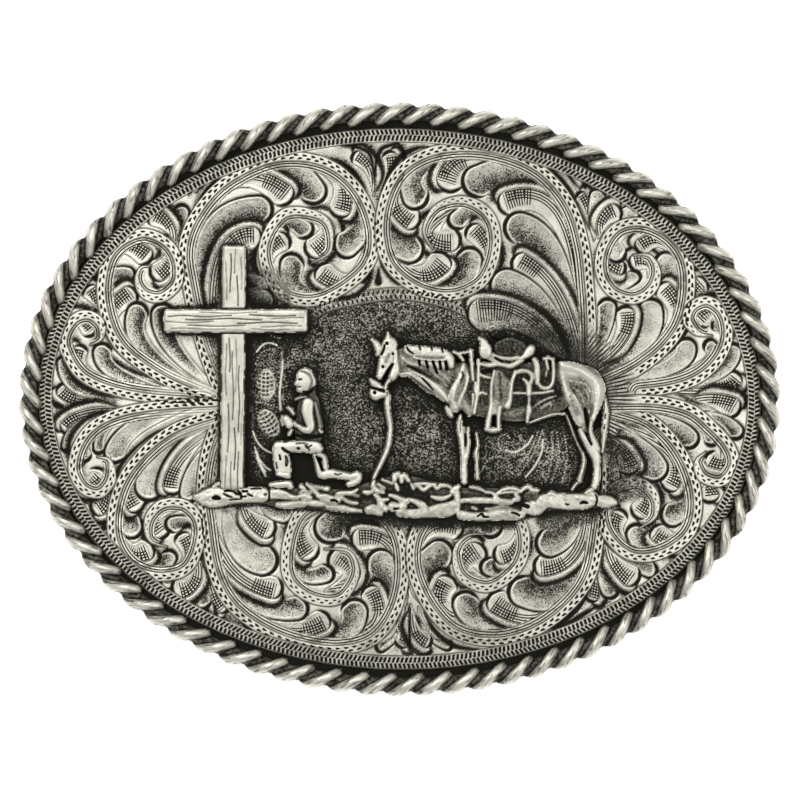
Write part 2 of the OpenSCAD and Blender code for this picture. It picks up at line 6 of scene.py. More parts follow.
import bmesh
import bpy
import numpy as np
from bpy.props import FloatProperty, FloatVectorProperty, PointerProperty
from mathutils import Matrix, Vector


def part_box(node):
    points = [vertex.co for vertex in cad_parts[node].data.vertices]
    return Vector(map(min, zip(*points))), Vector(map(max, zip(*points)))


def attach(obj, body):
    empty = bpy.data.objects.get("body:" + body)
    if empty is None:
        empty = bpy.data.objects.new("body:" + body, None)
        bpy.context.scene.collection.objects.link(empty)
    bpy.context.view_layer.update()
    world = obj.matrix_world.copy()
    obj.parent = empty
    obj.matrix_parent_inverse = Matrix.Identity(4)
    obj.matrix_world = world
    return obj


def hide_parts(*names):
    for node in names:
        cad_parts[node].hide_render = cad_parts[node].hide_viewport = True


bl_info = {
    "name": "Western belt buckle",
    "version": (1, 0, 0),
    "blender": (4, 5, 0),
    "location": "3D View > Sidebar > Buckle",
    "description": "Builds an oval western belt buckle around its plain solids",
    "category": "Add Mesh",
}

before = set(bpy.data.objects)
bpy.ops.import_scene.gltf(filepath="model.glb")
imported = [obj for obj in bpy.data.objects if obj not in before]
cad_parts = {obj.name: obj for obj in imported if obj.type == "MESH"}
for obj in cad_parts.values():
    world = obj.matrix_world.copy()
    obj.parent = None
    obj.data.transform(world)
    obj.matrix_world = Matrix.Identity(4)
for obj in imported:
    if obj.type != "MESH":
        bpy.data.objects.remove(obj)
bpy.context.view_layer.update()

# The ornament is charted on a sheet of squares, eight to a millimetre, with Y down. The sheet's
# middle is the middle of the face, and it is turned a little against the oval's long axis.
MM = 0.001
MID_X = 400
MID_Y = 399
SQUARE = 0.125 * MM
TURN = math.radians(0.88)
BEND_RADIUS = 250 * MM
FACE_T = 1.8 * MM
RELIEF = 0.45 * MM
FACE_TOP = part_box("plate")[1][2] - RELIEF
# Half sizes, in squares, of the milled border's outer line and of the engraved sheet under the rope
BORDER_A = 361.0
BORDER_B = 270.2
SHEET_A = 366.5
SHEET_B = 280.5

# Heights over the bent face, and the sizes of the plate and of the rope, in metres. ROPE_FLAT is the share
# of the rope's radius where its underside is cut flat below the middle.
FACE_FLOOR = -0.6 * MM
PLATE_TOP = -0.3 * MM
SEAT = -0.15 * MM
PLATE_A = 47.3 * MM
PLATE_B = 36.6 * MM
ROPE_R = 1.5 * MM
ROPE_A = 46.3 * MM
ROPE_B = 35.6 * MM
ROPE_CLEAR = 0.06 * MM
ROPE_FLAT = 0.35
ROPE_LOBES = 74
# Stations of the rope's mesh to a lobe, and vertices round it
ROPE_STATIONS = 14
ROPE_SIDES = 28
# How many lobes a strand winds on over the rope's top and under it, and how blunt its ends are
ROPE_WIND_OVER = 0.95
ROPE_WIND_UNDER = 1.05
ROPE_BLUNT = 0.2
# The milled border: its ticks round the oval and its width in squares, and each row's distance in, shift
# in ticks, slant and half width. Then the arch's rows: their distance from its middle, and slant.
BORDER_TICKS = 450
BORDER_WIDE = 13.0
BORDER_ROWS = ((3.2, 0.0, 0.3, 2.6), (9.2, 0.5, -0.3, 2.9))
ARCH_ROWS = ((-2.6, 0.4), (2.8, -0.25))
# How many of each one's first strokes are smoothed into one body
HORSE_BODY = 15
GROUND_BODY = 5
RIDER_BODY = 2

# The stage: the camera's height over the face and its place off the middle in squares, its sensor in
# millimetres, how many squares its view is wide, and each light's name, place, size and share of the power
CAMERA_OVER = 1.0
CAMERA_OFF = (0.3, -1.0)
SENSOR = 36
VIEW_WIDE = 800
LIGHTS = (("key", (-0.22, 0.28, 0.62), 0.5, 1.0), ("fill", (0.4, 0.0, 0.65), 0.4, 0.45))

# Middle lines of the scrolling stems, each from where it springs to the eye that it winds into
SCROLLS = [
    [(222, 398), (209, 368), (198, 335), (188, 290), (183, 250), (195, 215), (225, 181), (275, 158),
     (325, 162),
     (360, 190), (376, 235), (365, 272), (320, 301), (280, 293), (263, 250), (285, 213), (325, 219),
     (331, 250), (312, 263)],
    [(210, 400), (160, 378), (118, 345), (102, 300), (106, 262), (121, 242), (145, 233), (168, 243),
     (179, 262), (178, 284), (162, 298), (145, 295), (137, 281), (141, 268), (151, 266)],
    [(205, 402), (150, 398), (110, 390), (80, 375), (64, 348), (66, 330), (77, 317), (91, 315),
     (102, 325), (101, 339), (91, 345)],
    [(592, 385), (592, 330), (590, 290), (585, 245), (572, 205), (545, 172), (510, 154), (470, 147),
     (430, 152), (400, 170), (384, 200), (380, 235), (390, 268), (420, 291), (455, 296), (485, 280),
     (497, 245), (490, 215), (465, 200), (437, 207), (424, 230), (433, 249)],
    [(610, 385), (640, 370), (668, 347), (685, 320), (691, 285), (686, 255), (668, 233), (642, 222),
     (617, 227), (602, 248), (600, 273), (612, 293), (634, 300), (652, 290), (658, 272), (650, 256),
     (634, 255)],
    [(640, 393), (675, 388), (702, 377), (721, 358), (729, 335), (724, 312), (708, 300), (692, 306),
     (687, 320), (697, 333), (712, 336)],
    [(222, 412), (211, 436), (204, 462), (201, 490), (204, 520), (212, 570), (230, 605), (262, 630),
     (300, 645), (340, 650),
     (375, 640), (397, 610), (405, 570), (398, 530), (370, 505), (330, 500), (300, 512), (287, 545),
     (288, 578), (310, 598), (340, 600), (357, 575), (350, 552), (325, 549)],
    [(220, 412), (175, 428), (145, 450), (122, 480), (112, 515), (115, 545), (132, 568), (160, 577),
     (187, 570), (200, 545), (200, 520), (185, 504), (162, 504), (148, 520), (150, 540), (167, 547)],
    [(215, 402), (165, 405), (125, 411), (95, 424), (78, 445), (73, 470), (83, 489), (100, 494),
     (112, 480), (110, 461), (98, 457)],
    [(605, 440), (606, 485), (601, 530), (592, 575), (570, 607), (535, 632), (495, 642), (455, 634),
     (428, 607), (412, 570), (414, 535), (435, 510), (480, 500), (515, 512), (526, 540), (518, 568),
     (490, 588), (462, 578), (455, 552), (467, 536), (485, 534)],
    [(612, 405), (650, 418), (678, 445), (694, 478), (698, 510), (688, 537), (660, 555), (630, 556),
     (607, 535), (601, 508), (615, 487), (640, 482), (656, 497), (655, 517), (640, 528)],
    [(605, 400), (655, 400), (690, 408), (712, 425), (730, 445), (735, 465), (722, 482), (703, 478),
     (697, 462), (706, 452)],
]

# Leaves, later ones over earlier ones. A row holds the leaf's root, middle and head, its half width at
# the head, and its finish: 0 is shaded, 1 is lined along its outer side.
LEAVES = [
    # top left, large scroll
    (295, 211, 327, 226, 314, 250, 9, 1), (272, 255, 282, 224, 307, 230, 8, 0),
    (285, 288, 268, 262, 283, 240, 8, 1), (340, 291, 300, 290, 291, 262, 10, 0),
    (366, 245, 352, 280, 323, 273, 9, 1), (345, 182, 363, 218, 345, 248, 11, 0),
    (300, 164, 337, 178, 341, 210, 9, 1), (250, 166, 290, 168, 316, 194, 11, 0),
    (205, 215, 240, 180, 285, 195, 10, 1), (205, 335, 208, 240, 262, 208, 12, 0),
    (212, 340, 222, 262, 254, 236, 9, 1),
    # top left, middle scroll
    (145, 238, 171, 252, 158, 274, 8, 1), (107, 290, 118, 250, 146, 256, 8, 1),
    (104, 312, 110, 280, 130, 274, 7, 0), (170, 385, 112, 335, 130, 294, 8, 1),
    (215, 395, 148, 352, 137, 310, 9, 0), (218, 390, 175, 350, 162, 312, 10, 0),
    # top left, small scroll and fillers
    (100, 312, 97, 302, 90, 291, 7, 1), (192, 228, 206, 190, 243, 165, 5, 0),
    (179, 240, 181, 226, 182, 210, 7, 0),
    (176, 243, 170, 228, 155, 216, 8, 1), (115, 402, 84, 401, 63, 390, 7, 1),
    (100, 399, 72, 386, 63, 361, 6, 0),
    (68, 340, 75, 320, 91, 330, 7, 1), (150, 393, 92, 377, 80, 350, 6, 1),
    (180, 393, 120, 375, 101, 350, 8, 0),
    # top right, large scroll
    (455, 205, 432, 232, 452, 241, 10, 1), (490, 250, 478, 214, 455, 221, 8, 0),
    (462, 287, 488, 262, 474, 231, 8, 1), (420, 283, 458, 284, 471, 257, 11, 0),
    (395, 262, 420, 274, 442, 262, 10, 1), (388, 200, 391, 235, 413, 251, 12, 0),
    (412, 163, 396, 196, 412, 221, 9, 1), (455, 153, 418, 172, 415, 200, 11, 0),
    (545, 172, 478, 160, 448, 181, 11, 1), (585, 290, 545, 187, 474, 181, 13, 0),
    (583, 330, 560, 222, 507, 202, 10, 1), (577, 350, 556, 262, 517, 225, 13, 0),
    (585, 380, 562, 305, 520, 262, 9, 1), (575, 372, 545, 312, 503, 283, 14, 0),
    (575, 372, 530, 325, 479, 314, 13, 1),
    # top right, middle scroll
    (648, 288, 651, 266, 635, 262, 7, 1), (606, 275, 618, 286, 636, 276, 6, 0),
    (610, 240, 607, 258, 621, 269, 6, 1), (650, 229, 618, 235, 617, 256, 8, 0),
    (688, 285, 668, 245, 641, 246, 7, 1), (655, 352, 685, 300, 664, 260, 9, 0),
    (615, 375, 671, 330, 665, 289, 8, 1), (602, 372, 643, 342, 651, 308, 11, 0),
    (597, 368, 620, 340, 626, 313, 8, 1), (592, 365, 604, 332, 608, 305, 8, 0),
    # top right, small scroll and fillers
    (578, 200, 566, 179, 541, 162, 5, 0), (594, 242, 590, 216, 581, 196, 5, 1),
    (595, 240, 594, 216, 598, 194, 7, 0), (604, 236, 616, 222, 634, 212, 8, 0),
    (599, 238, 603, 222, 615, 212, 8, 1), (693, 308, 699, 297, 711, 292, 6, 0),
    (690, 318, 692, 298, 701, 284, 8, 1), (670, 393, 715, 387, 735, 379, 8, 1),
    (690, 388, 722, 371, 734, 350, 8, 0), (720, 345, 724, 332, 715, 325, 4, 1),
    (722, 335, 716, 312, 700, 318, 9, 1), (640, 388, 703, 366, 711, 344, 6, 0),
    (620, 382, 672, 366, 688, 346, 9, 0),
    # bottom left, large scroll
    (325, 592, 351, 577, 338, 558, 10, 1), (295, 540, 301, 572, 328, 574, 8, 0),
    (330, 505, 303, 525, 309, 553, 9, 1), (385, 520, 355, 512, 327, 530, 13, 0),
    (398, 590, 391, 550, 359, 539, 9, 1), (372, 640, 398, 600, 379, 560, 12, 0),
    (320, 645, 370, 627, 371, 592, 8, 1), (270, 632, 335, 636, 357, 609, 11, 0),
    (225, 595, 275, 627, 323, 621, 9, 1), (212, 560, 250, 601, 300, 609, 10, 0),
    (212, 510, 228, 562, 275, 589, 9, 1), (225, 505, 238, 545, 266, 562, 13, 0),
    (240, 500, 250, 517, 268, 529, 9, 1), (262, 498, 270, 508, 286, 511, 11, 0),
    # bottom left, middle scroll
    (185, 508, 158, 513, 160, 531, 9, 1), (192, 555, 190, 527, 171, 524, 7, 0),
    (165, 572, 187, 561, 183, 538, 7, 1), (135, 562, 157, 569, 171, 556, 7, 0),
    (118, 525, 128, 549, 147, 551, 9, 1), (125, 480, 119, 510, 134, 529, 10, 0),
    (215, 412, 142, 462, 135, 506, 8, 1), (220, 418, 165, 455, 148, 490, 12, 0),
    (220, 425, 186, 455, 172, 488, 8, 1), (222, 435, 197, 465, 188, 496, 8, 0),
    # bottom left, small scroll and fillers
    (212, 585, 228, 616, 260, 637, 6, 0), (205, 555, 212, 585, 224, 607, 7, 1),
    (200, 560, 201, 585, 203, 604, 7, 0), (195, 570, 182, 579, 165, 583, 6, 0),
    (200, 560, 195, 579, 180, 589, 9, 1), (110, 490, 106, 500, 98, 508, 8, 1),
    (125, 408, 88, 415, 67, 428, 7, 1), (100, 415, 76, 427, 66, 448, 5, 0),
    (78, 465, 85, 484, 100, 477, 9, 1), (130, 412, 90, 432, 84, 457, 6, 1),
    (190, 403, 120, 418, 98, 450, 5, 0), (200, 405, 140, 425, 113, 455, 9, 0),
    # bottom right, large scroll
    (603, 586, 591, 612, 559, 629, 6, 0), (492, 582, 465, 570, 477, 552, 10, 1),
    (522, 538, 511, 566, 487, 567, 8, 0), (519, 520, 517, 543, 501, 556, 8, 1),
    (450, 512, 475, 512, 493, 528, 10, 0), (417, 570, 425, 535, 456, 528, 9, 1),
    (440, 615, 418, 582, 442, 551, 12, 0), (515, 632, 452, 614, 446, 583, 9, 1),
    (560, 614, 492, 622, 463, 602, 11, 0), (592, 570, 547, 613, 496, 602, 10, 1),
    (594, 520, 567, 588, 520, 592, 13, 0), (590, 505, 575, 550, 542, 567, 9, 1),
    (582, 500, 570, 530, 547, 545, 12, 0),
    # bottom right, middle scroll
    (618, 490, 645, 492, 640, 512, 8, 1), (660, 553, 622, 540, 619, 515, 7, 1),
    (680, 547, 651, 551, 635, 532, 9, 0), (695, 515, 684, 541, 657, 533, 8, 1),
    (688, 475, 690, 500, 670, 517, 10, 0), (622, 422, 668, 452, 671, 485, 8, 1),
    (618, 430, 642, 450, 656, 471, 12, 0), (608, 445, 612, 460, 615, 478, 6, 0),
    (610, 435, 622, 450, 630, 468, 8, 1),
    # bottom right, small scroll and fillers
    (603, 550, 598, 575, 592, 597, 6, 1), (602, 550, 604, 574, 611, 592, 8, 0),
    (615, 552, 632, 563, 652, 571, 7, 0), (605, 545, 615, 562, 632, 577, 9, 1),
    (708, 480, 709, 488, 710, 496, 8, 1), (690, 398, 712, 400, 733, 408, 9, 1),
    (700, 412, 723, 420, 738, 433, 7, 0), (722, 445, 725, 462, 711, 459, 7, 1),
    (640, 405, 690, 415, 713, 441, 6, 0), (630, 412, 670, 425, 691, 440, 9, 0),
    # top and bottom middle sprays
    (418, 606, 428, 632, 449, 646, 5, 0), (404, 606, 397, 632, 380, 648, 5, 0),
    (408, 604, 407, 626, 402, 643, 6, 1), (411, 604, 415, 628, 427, 642, 6, 1),
    (374, 197, 371, 173, 357, 157, 6, 1), (377, 197, 389, 177, 390, 156, 6, 1),
    # right of the cross
    (234, 276, 247, 281, 261, 288, 10, 0), (234, 296, 248, 297, 265, 303, 11, 0),
]

# Raised strokes of the rider and of the horse, and cuts into them. Each row holds the height over the
# face in millimetres, or below zero the depth of a cut, then how dark it is, from 0 for rubbed bright to
# 1 for black, and then its points, each with the half width there in squares. Some tones paint light and
# shade of the round forms: the light strokes low on the horse's barrel are painted highlight, and the
# rider's dark neck is painted shade under his head.
RIDER_STROKES = [
    (1.5, 0.9, (309, 402, 9), (309, 416, 11.5), (309, 434, 12.5)),  # coat
    # The neck's dark tone is painted shade under the head
    (1.35, 0.88, (308, 388, 7), (308, 398, 6)),  # neck and collar
    (2.1, 0.08, (305.5, 376.5, 8), (306.5, 381.5, 9.4)),  # head
    (2.05, 0.1, (298.5, 381, 1.8), (296.6, 384, 1.7)),  # nose
    (2.0, 0.14, (301, 388.5, 3.6), (303.5, 389.5, 3.0)),  # chin
    (-0.1, 0.45, (301.5, 371, 0.9), (309.5, 374.5, 1.3), (312.5, 382, 1.6), (310, 389.5, 1.8)),
    (-0.25, 0.85, (299.4, 379.6, 0.6), (301.6, 379.4, 0.7)),
    (-0.18, 0.75, (298.2, 386.8, 0.4), (300.8, 387.0, 0.5)),
    (-0.2, 0.85, (304, 392, 1.4), (309, 392.5, 2.0), (314, 388, 1.4)),
    (1.6, 0.4, (296, 399.5, 0.6), (301, 397.6, 0.8), (306, 396.8, 0.7)),
    (1.75, 0.45, (315.5, 403, 0.9), (318.5, 416, 1.6), (320.5, 427, 1.8)),
    (1.75, 0.15, (319.6, 430, 1.0), (321.4, 432, 1.3)),
    (2.2, 0.05, (308.4, 403.5, 5.2), (307.6, 410, 5.3), (309, 418, 4.5), (310.8, 425, 3.9),
     (309.5, 429.6, 3.4), (304, 429.4, 2.6), (298.5, 425.8, 1.8)),  # arm
    (2.1, 0.2, (296.4, 425, 2.0), (295, 423.6, 2.0)),
    (2.2, 0.03, (286.6, 419, 3.4), (288.6, 422, 4.0), (289.8, 425, 3.2)),
    (1.9, 0.35, (282.8, 416, 0.6), (281.9, 420.5, 0.8), (283, 425, 0.6)),
    (1.6, 0.06, (288.8, 407.8, 1.3), (291.6, 410.4, 1.8), (293.8, 414, 1.3)),
    (1.6, 0.12, (292, 430, 1.2), (290.4, 432.6, 1.5), (289.2, 435, 1.0)),
    (-0.3, 1.0, (297, 435, 1.4), (306, 437.5, 1.8), (320.5, 436, 1.5)),
    (1.95, 0.06, (279, 447, 5.2), (290, 446.4, 5.0), (304, 446.4, 5.4), (316, 447.4, 5.6),
     (318.6, 448.6, 4)),
    (1.95, 0.06, (280.4, 449, 6.8), (281.6, 458, 7.6), (283, 466, 7.8), (284, 470.4, 7.2)),
    (1.95, 0.06, (279.6, 474.4, 2.6), (288, 475, 2.8)),
    (-0.25, 0.8, (306.2, 445.6, 1.0), (307.8, 447.6, 1.3)),
    (-0.25, 0.9, (298.3, 448.2, 1.1), (299.6, 448.6, 1.0)),
    (-0.12, 0.5, (297, 443.4, 0.8), (303, 442.8, 1.0), (308, 444.2, 0.8)),
    (-0.2, 0.6, (309.6, 450.6, 0.8), (309.4, 447, 0.7), (312, 445.4, 0.6)),
    (-0.2, 0.8, (284.4, 441.4, 0.9), (287, 441.4, 0.8)),
    (-0.3, 0.95, (283, 448.2, 1.1), (286, 450.6, 1.4), (290, 452.4, 0.9)),
    (-0.3, 0.72, (286.4, 456.5, 1.0), (287.4, 461, 1.7), (286.8, 465, 1.2)),
    (-0.25, 0.85, (280, 455.2, 0.7), (280.8, 459.4, 0.8)),
    (-0.2, 0.65, (276.4, 463, 0.6), (277.4, 468, 0.8)),
    (-0.3, 0.9, (276.6, 476.2, 0.7), (281, 477.4, 0.9), (286, 479, 0.9)),
    (1.5, 0.06, (270.6, 484.8, 1.2), (276, 484.3, 2.3), (283, 483.8, 2.8), (289, 484, 3.3),
     (291, 486.6, 2.2)),
    (1.55, 0.1, (314.6, 454.4, 1.2), (317, 461.6, 1.8), (318.6, 468, 2.2), (321, 474, 3), (325, 476, 2.4)),
    (1.55, 0.1, (319, 454.4, 2.2), (323.6, 456.6, 2.2), (325.2, 462, 2.4), (325.6, 468.6, 2.6)),
    (-0.4, 1.0, (316.6, 456.6, 0.6), (320, 463, 0.9), (322.8, 469.6, 1.1), (326.4, 472.8, 1.3)),
    (-0.25, 0.9, (319.4, 458.2, 1.0), (321.6, 459.6, 1.1)),
    (1.55, 0.06, (324, 474.6, 3.6), (331, 473.6, 4.2), (339, 474.6, 3.5), (346, 475.8, 3.3), (352, 477, 3)),
    (-0.15, 0.6, (335, 473.6, 0.6), (338, 474.8, 0.8), (342, 473.4, 0.5)),
    (1.6, 0.05, (353, 476, 2.8), (357.4, 475.6, 4), (358.4, 478.6, 3), (355.6, 482, 2.6), (349, 484, 2.2)),
]

HORSE_STROKES = [
    # Body, low and dark under the harness
    (1.65, 0.66, (405, 360, 11), (418, 366, 14), (436, 376, 18)),
    (1.75, 0.82, (462, 386, 22), (478, 391, 24), (495, 391, 26)),
    (1.65, 0.92, (495, 391, 27), (520, 392, 28), (548, 388, 26)),
    (1.8, 0.62, (579, 385, 18), (583, 386, 20), (584, 391, 19)),
    (1.6, 0.66, (578, 398, 11), (582, 412, 9), (588, 428, 4)),
    (2.05, 0.1, (563.4, 369, 3.4), (569, 373, 5), (577, 374, 4.6)),
    (2.2, 0.0, (561.6, 365, 3), (570, 367, 4.6), (581, 371, 5.8), (591, 377.4, 7), (597.4, 386, 7.2),
     (598, 396, 6.2), (596.8, 405, 4.1), (594.4, 413, 2.5), (592, 420, 1.9)),
    (1.95, 0.1, (561.4, 368, 2), (562.8, 378, 2), (565.6, 388, 2.4), (569, 400, 3)),
    (1.95, 0.2, (569, 392, 2.4), (573, 401, 4.6), (576.6, 411, 5.6), (581, 422, 4.4)),
    (1.95, 0.2, (463.6, 366.4, 3), (461.6, 378, 5), (456.6, 390, 6), (454.6, 400, 5.4), (455.6, 408, 4)),
    (1.75, 0.35, (463, 398, 3), (466, 404, 4), (469, 412, 4)),
    (1.75, 0.35, (402, 374, 2), (412, 374, 3), (425, 381, 4), (436, 389, 5), (445, 397, 4)),
    (1.75, 0.45, (404, 358, 3), (413, 362, 4), (422, 367, 3)),
    (1.8, 0.5, (430, 367, 4), (440, 374, 5), (448, 380, 4)),
    # Painted highlight low on the barrel
    (1.75, 0.66, (506, 414, 4), (516, 413, 5), (524, 410, 4)),
    # Head and reins
    (1.75, 0.06, (390, 344.6, 7), (388.4, 354, 7.6), (384.2, 366, 5.4), (380.4, 376, 3.2)),
    (1.6, 0.05, (388, 341, 3.6), (388.3, 337, 2.2), (388.3, 333, 0.8)),
    (1.45, 0.06, (372.6, 340, 1.2), (376.6, 344, 3), (379, 349.4, 3.2), (378, 354.6, 1.4)),
    (1.85, 0.05, (395, 351, 2.6), (395.8, 361, 2.6), (395.6, 370, 4), (393, 376.6, 3.4)),
    (-0.06, 0.32, (389.4, 355, 1.8), (386.6, 361.5, 2.2)),
    (-0.7, 1.0, (393, 364.4, 0.8), (388.6, 371, 1.7), (384.6, 379, 2.5)),
    (-0.5, 1.0, (387, 343.2, 1.2), (387.5, 343.7, 1.2)),
    (-0.3, 0.9, (393, 353.6, 0.9), (393.4, 354.2, 0.9)),
    (-0.4, 1.0, (383, 366.6, 1.1), (383.4, 367.1, 1.1)),
    (-0.4, 0.9, (381.6, 354.4, 0.8), (384, 349.6, 0.9), (384.8, 345, 0.5)),
    (1.6, 0.06, (390.4, 379, 1.4), (386.8, 384, 1.1), (385.4, 390, 1.3)),
    (1.7, 0.06, (371, 380.2, 1.4), (374.6, 383.6, 3.2), (379, 386.4, 2.8), (382, 387.4, 1.4)),
    (1.85, 0.04, (374.4, 393, 4.4), (376.6, 394.6, 5.2), (380, 394.6, 3.6), (386, 394.2, 1.7)),
    (-0.6, 1.0, (374.8, 392.2, 1.2), (375.2, 392.7, 1.2)),
    (-0.4, 0.9, (370.8, 387.2, 0.8), (374.4, 388.4, 0.9), (379, 389.6, 1.0), (384, 391, 1.2)),
    (1.5, 0.06, (387, 391.5, 1.6), (388, 396, 2.3), (387.6, 404, 2.4), (388.6, 414, 2.2), (390.6, 428, 2.1),
     (388.4, 446, 2.2), (382.4, 461, 1.9), (376.8, 472, 1.5), (374, 478, 1.1)),
    # Mane and neck
    (2.0, 0.08, (408.6, 350, 4.4), (418, 352, 5.8), (430, 353.4, 6.2), (442, 354.6, 5.6), (449.6, 359, 4),
     (451.4, 366, 2.4)),
    (-0.08, 0.38, (417, 357, 1.2), (430, 358, 1.8), (444, 358, 1.6)),
    (1.95, 0.06, (414, 357.6, 0.7), (424, 359.8, 0.7), (436, 360.6, 0.7), (447, 360, 0.7)),
    (-0.3, 0.9, (419.4, 346, 0.7), (420.8, 349.6, 0.5)),
    (-0.3, 0.9, (431.4, 346.4, 0.7), (432.4, 350, 0.5)),
    (-0.3, 0.9, (442, 348, 0.7), (443.2, 352, 0.6)),
    (-0.25, 0.85, (407, 347, 0.6), (409, 350.6, 0.8), (413.6, 354, 0.5)),
    (1.7, 0.14, (421, 362.6, 2.4), (434, 365, 4), (447, 364.6, 3.6)),
    (-0.5, 1.0, (419.4, 360.4, 0.8), (420, 365, 0.9)),
    (-0.5, 1.0, (426.4, 361.4, 0.9), (428, 367.4, 1.0)),
    (-0.5, 1.0, (433.2, 361.6, 0.9), (435, 367, 1.0), (437.4, 373, 0.8)),
    (-0.5, 1.0, (440, 361.8, 1.0), (441, 368.6, 1.1)),
    (-0.5, 1.0, (446, 361.8, 1.2), (447, 369, 1.4)),
    (0, 0.1, (402.6, 357.4, 0.8), (407, 361.6, 1.1), (414, 364.4, 1.3), (418.6, 365.4, 0.9)),
    (0, 0.3, (401, 369, 0.6), (402.4, 363, 0.8), (401.8, 357, 0.6)),
    (0, 0.2, (431, 370, 0.8), (436, 375, 1.1), (444, 381.4, 0.8)),
    (0, 0.25, (438, 371, 0.7), (444, 375, 1.0), (449.4, 381, 0.7)),
    (0, 0.2, (444.6, 383.4, 0.9), (447, 385.6, 0.7)),
    (-0.3, 0.92, (408, 366, 0.8), (420, 371.4, 1.1), (432, 380, 1.4), (443, 390.4, 1.3)),
    (1.7, 0.12, (401.6, 374, 1.0), (409, 373.6, 1.7), (416, 376.8, 2.2), (425, 383.2, 2.5),
     (432, 388.8, 1.8)),
    (1.75, 0.06, (412.5, 372, 0.9), (421, 375.6, 1.7), (430, 381.8, 2.6), (438, 388.8, 3.4),
     (444, 395, 2.7),
     (447.4, 400.4, 1.3)),
    (-0.3, 0.9, (422.6, 378.4, 0.5), (428, 384, 0.7), (433, 390, 0.6)),
    (1.5, 0.12, (447, 407.4, 1.5), (449.2, 411.2, 2.9), (451.4, 415.4, 2.1)),
    # Shoulder and breast straps
    (0, 0.42, (463.6, 376, 2.2), (460, 388, 3.4), (456, 399, 3)),
    (0, 0.02, (463.4, 366.4, 1.2), (460, 377, 1.7), (453.6, 388, 2), (450.6, 397, 2.2), (453.6, 407, 2.6)),
    (0, 0.06, (465.4, 367, 1.1), (467.6, 377, 1.4), (465.4, 388, 1.5), (461.4, 397, 1.6), (458, 407, 2)),
    (-0.15, 0.8, (462.4, 372.4, 0.7), (463.6, 376, 0.9), (461.4, 380, 0.7)),
    (0, 0.1, (473, 394, 0.9), (473.4, 404, 1.5), (472, 414, 1.6)),
    (0, 0.95, (461.4, 410, 0.8), (463.6, 413, 1.6), (467, 415, 1.2)),
    (1.8, 0.1, (454, 352, 1.3), (459, 354.6, 1.2), (463.6, 360.4, 0.9)),
    (1.8, 0.12, (460, 353.4, 0.8), (468, 352.2, 0.9)),
    (2.0, 0.08, (471, 351.6, 2.3), (471.5, 356.4, 1.5), (472.3, 368, 1.3), (473.3, 380, 1.0)),
    (2.1, 0.08, (478.8, 360, 1.2), (478.6, 376, 1.3), (478, 392, 1.4), (476, 403, 1.5), (474.4, 413, 1.3)),
    (2.1, 0.1, (475.6, 383, 1.1), (476, 389, 2.1), (476.6, 395, 1.7)),
    (2.0, 0.1, (479, 371, 0.9), (481, 374.6, 1.2), (485, 376.6, 1.3), (489.6, 377.6, 0.9)),
    (2.0, 0.1, (478.5, 395, 1.1), (482, 392.6, 1.2), (486.4, 394, 0.9)),
    # Saddle, fender and stirrup
    (1.7, 0.84, (502, 348, 6.5), (510, 346.6, 8), (519, 348.4, 6.5)),
    (2.1, 0.16, (493, 355, 1.5), (500, 357.6, 1.7), (510, 358.6, 1.7), (518, 357.6, 1.9)),
    (2.2, 0.04, (520, 359, 1.7), (525, 356, 2.5), (529.4, 351.6, 4), (531.4, 348.8, 3.3)),
    (2.1, 0.1, (481, 364, 1.3), (489, 365.2, 2.1), (497, 364.2, 1.8), (504, 365, 1.9), (510, 366, 2.4),
     (516, 363.6, 2.1), (522, 360, 1.9)),
    (2.0, 0.25, (490, 357.6, 2), (495, 361, 2.2), (500, 363, 1.7)),
    (-0.3, 0.95, (495.6, 357.8, 0.8), (502, 361.2, 0.9), (510, 361.8, 0.7)),
    (2.4, 0.04, (479.6, 338.6, 1.4), (483, 341.4, 2.7), (485.4, 348.6, 5.6), (485.8, 353, 5.4)),
    (-0.3, 1.0, (483.4, 371.6, 2.6), (490, 370.6, 2.4)),
    (2.0, 0.48, (498, 376, 5.5), (503, 388, 8.6), (501, 401, 7.6)),
    (-0.1, 0.68, (500, 374, 1.2), (500.4, 388, 1.6), (501.4, 402, 1.4)),
    (2.1, 0.14, (494.4, 371, 0.9), (491.8, 384, 1.2), (491.4, 396, 1.5), (491, 405, 1.5)),
    (2.15, 0.08, (515.6, 372, 1.9), (512.6, 380, 1.6), (511, 390, 1.6), (510, 400, 2.1), (507.6, 406, 2.8)),
    (2.05, 0.32, (495, 404, 4.4), (494, 412, 3)),
    (2.1, 0.06, (491.4, 404, 1.7), (490, 413, 2.1), (488.6, 421, 2.1), (487.6, 428, 2.1)),
    (2.1, 0.08, (500.4, 407, 1.7), (499, 414, 1.9), (498.6, 421, 1.4), (499, 428, 1.9)),
    (2.2, 0.04, (486.2, 429, 1.5), (492.5, 430.2, 2.3), (499.4, 429.2, 1.7)),
    (-1.0, 1.0, (494.5, 415.6, 0.7), (494.2, 420, 1.9), (493.9, 424.6, 2.4)),
    # Straps behind the saddle
    (2.1, 0.12, (517, 372.5, 1.9), (522, 370.9, 2.1), (528, 371.6, 1.9), (532, 375.6, 2.1),
     (531.5, 381, 1.7),
     (529.6, 385, 1.9)),
    (2.15, 0.06, (523.5, 379, 0.9), (526.5, 382, 1.7), (529, 386, 2.5), (529, 394, 2.3)),
    (1.95, 0.2, (529.2, 396, 1.0), (529.2, 400, 1.2), (529, 404, 1.0)),
    (2.05, 0.06, (529, 406.6, 2.2), (529, 411, 2.7), (527.8, 417, 1.7), (527.4, 422, 1.1)),
    (2.15, 0.06, (534.6, 360, 2.3), (536.8, 365, 2.7), (537.4, 375, 2.5), (537.5, 383, 1.9)),
    (2.05, 0.08, (538.5, 383.6, 1.3), (541.5, 387, 1.4), (546, 388, 1.4), (550.4, 386.4, 1.4),
     (553, 381, 1.4),
     (553.7, 370, 1.3), (552.9, 360, 1.3)),
    (2.05, 0.1, (544, 358.8, 1.1), (548.5, 358, 1.5), (552.9, 359.6, 1.3)),
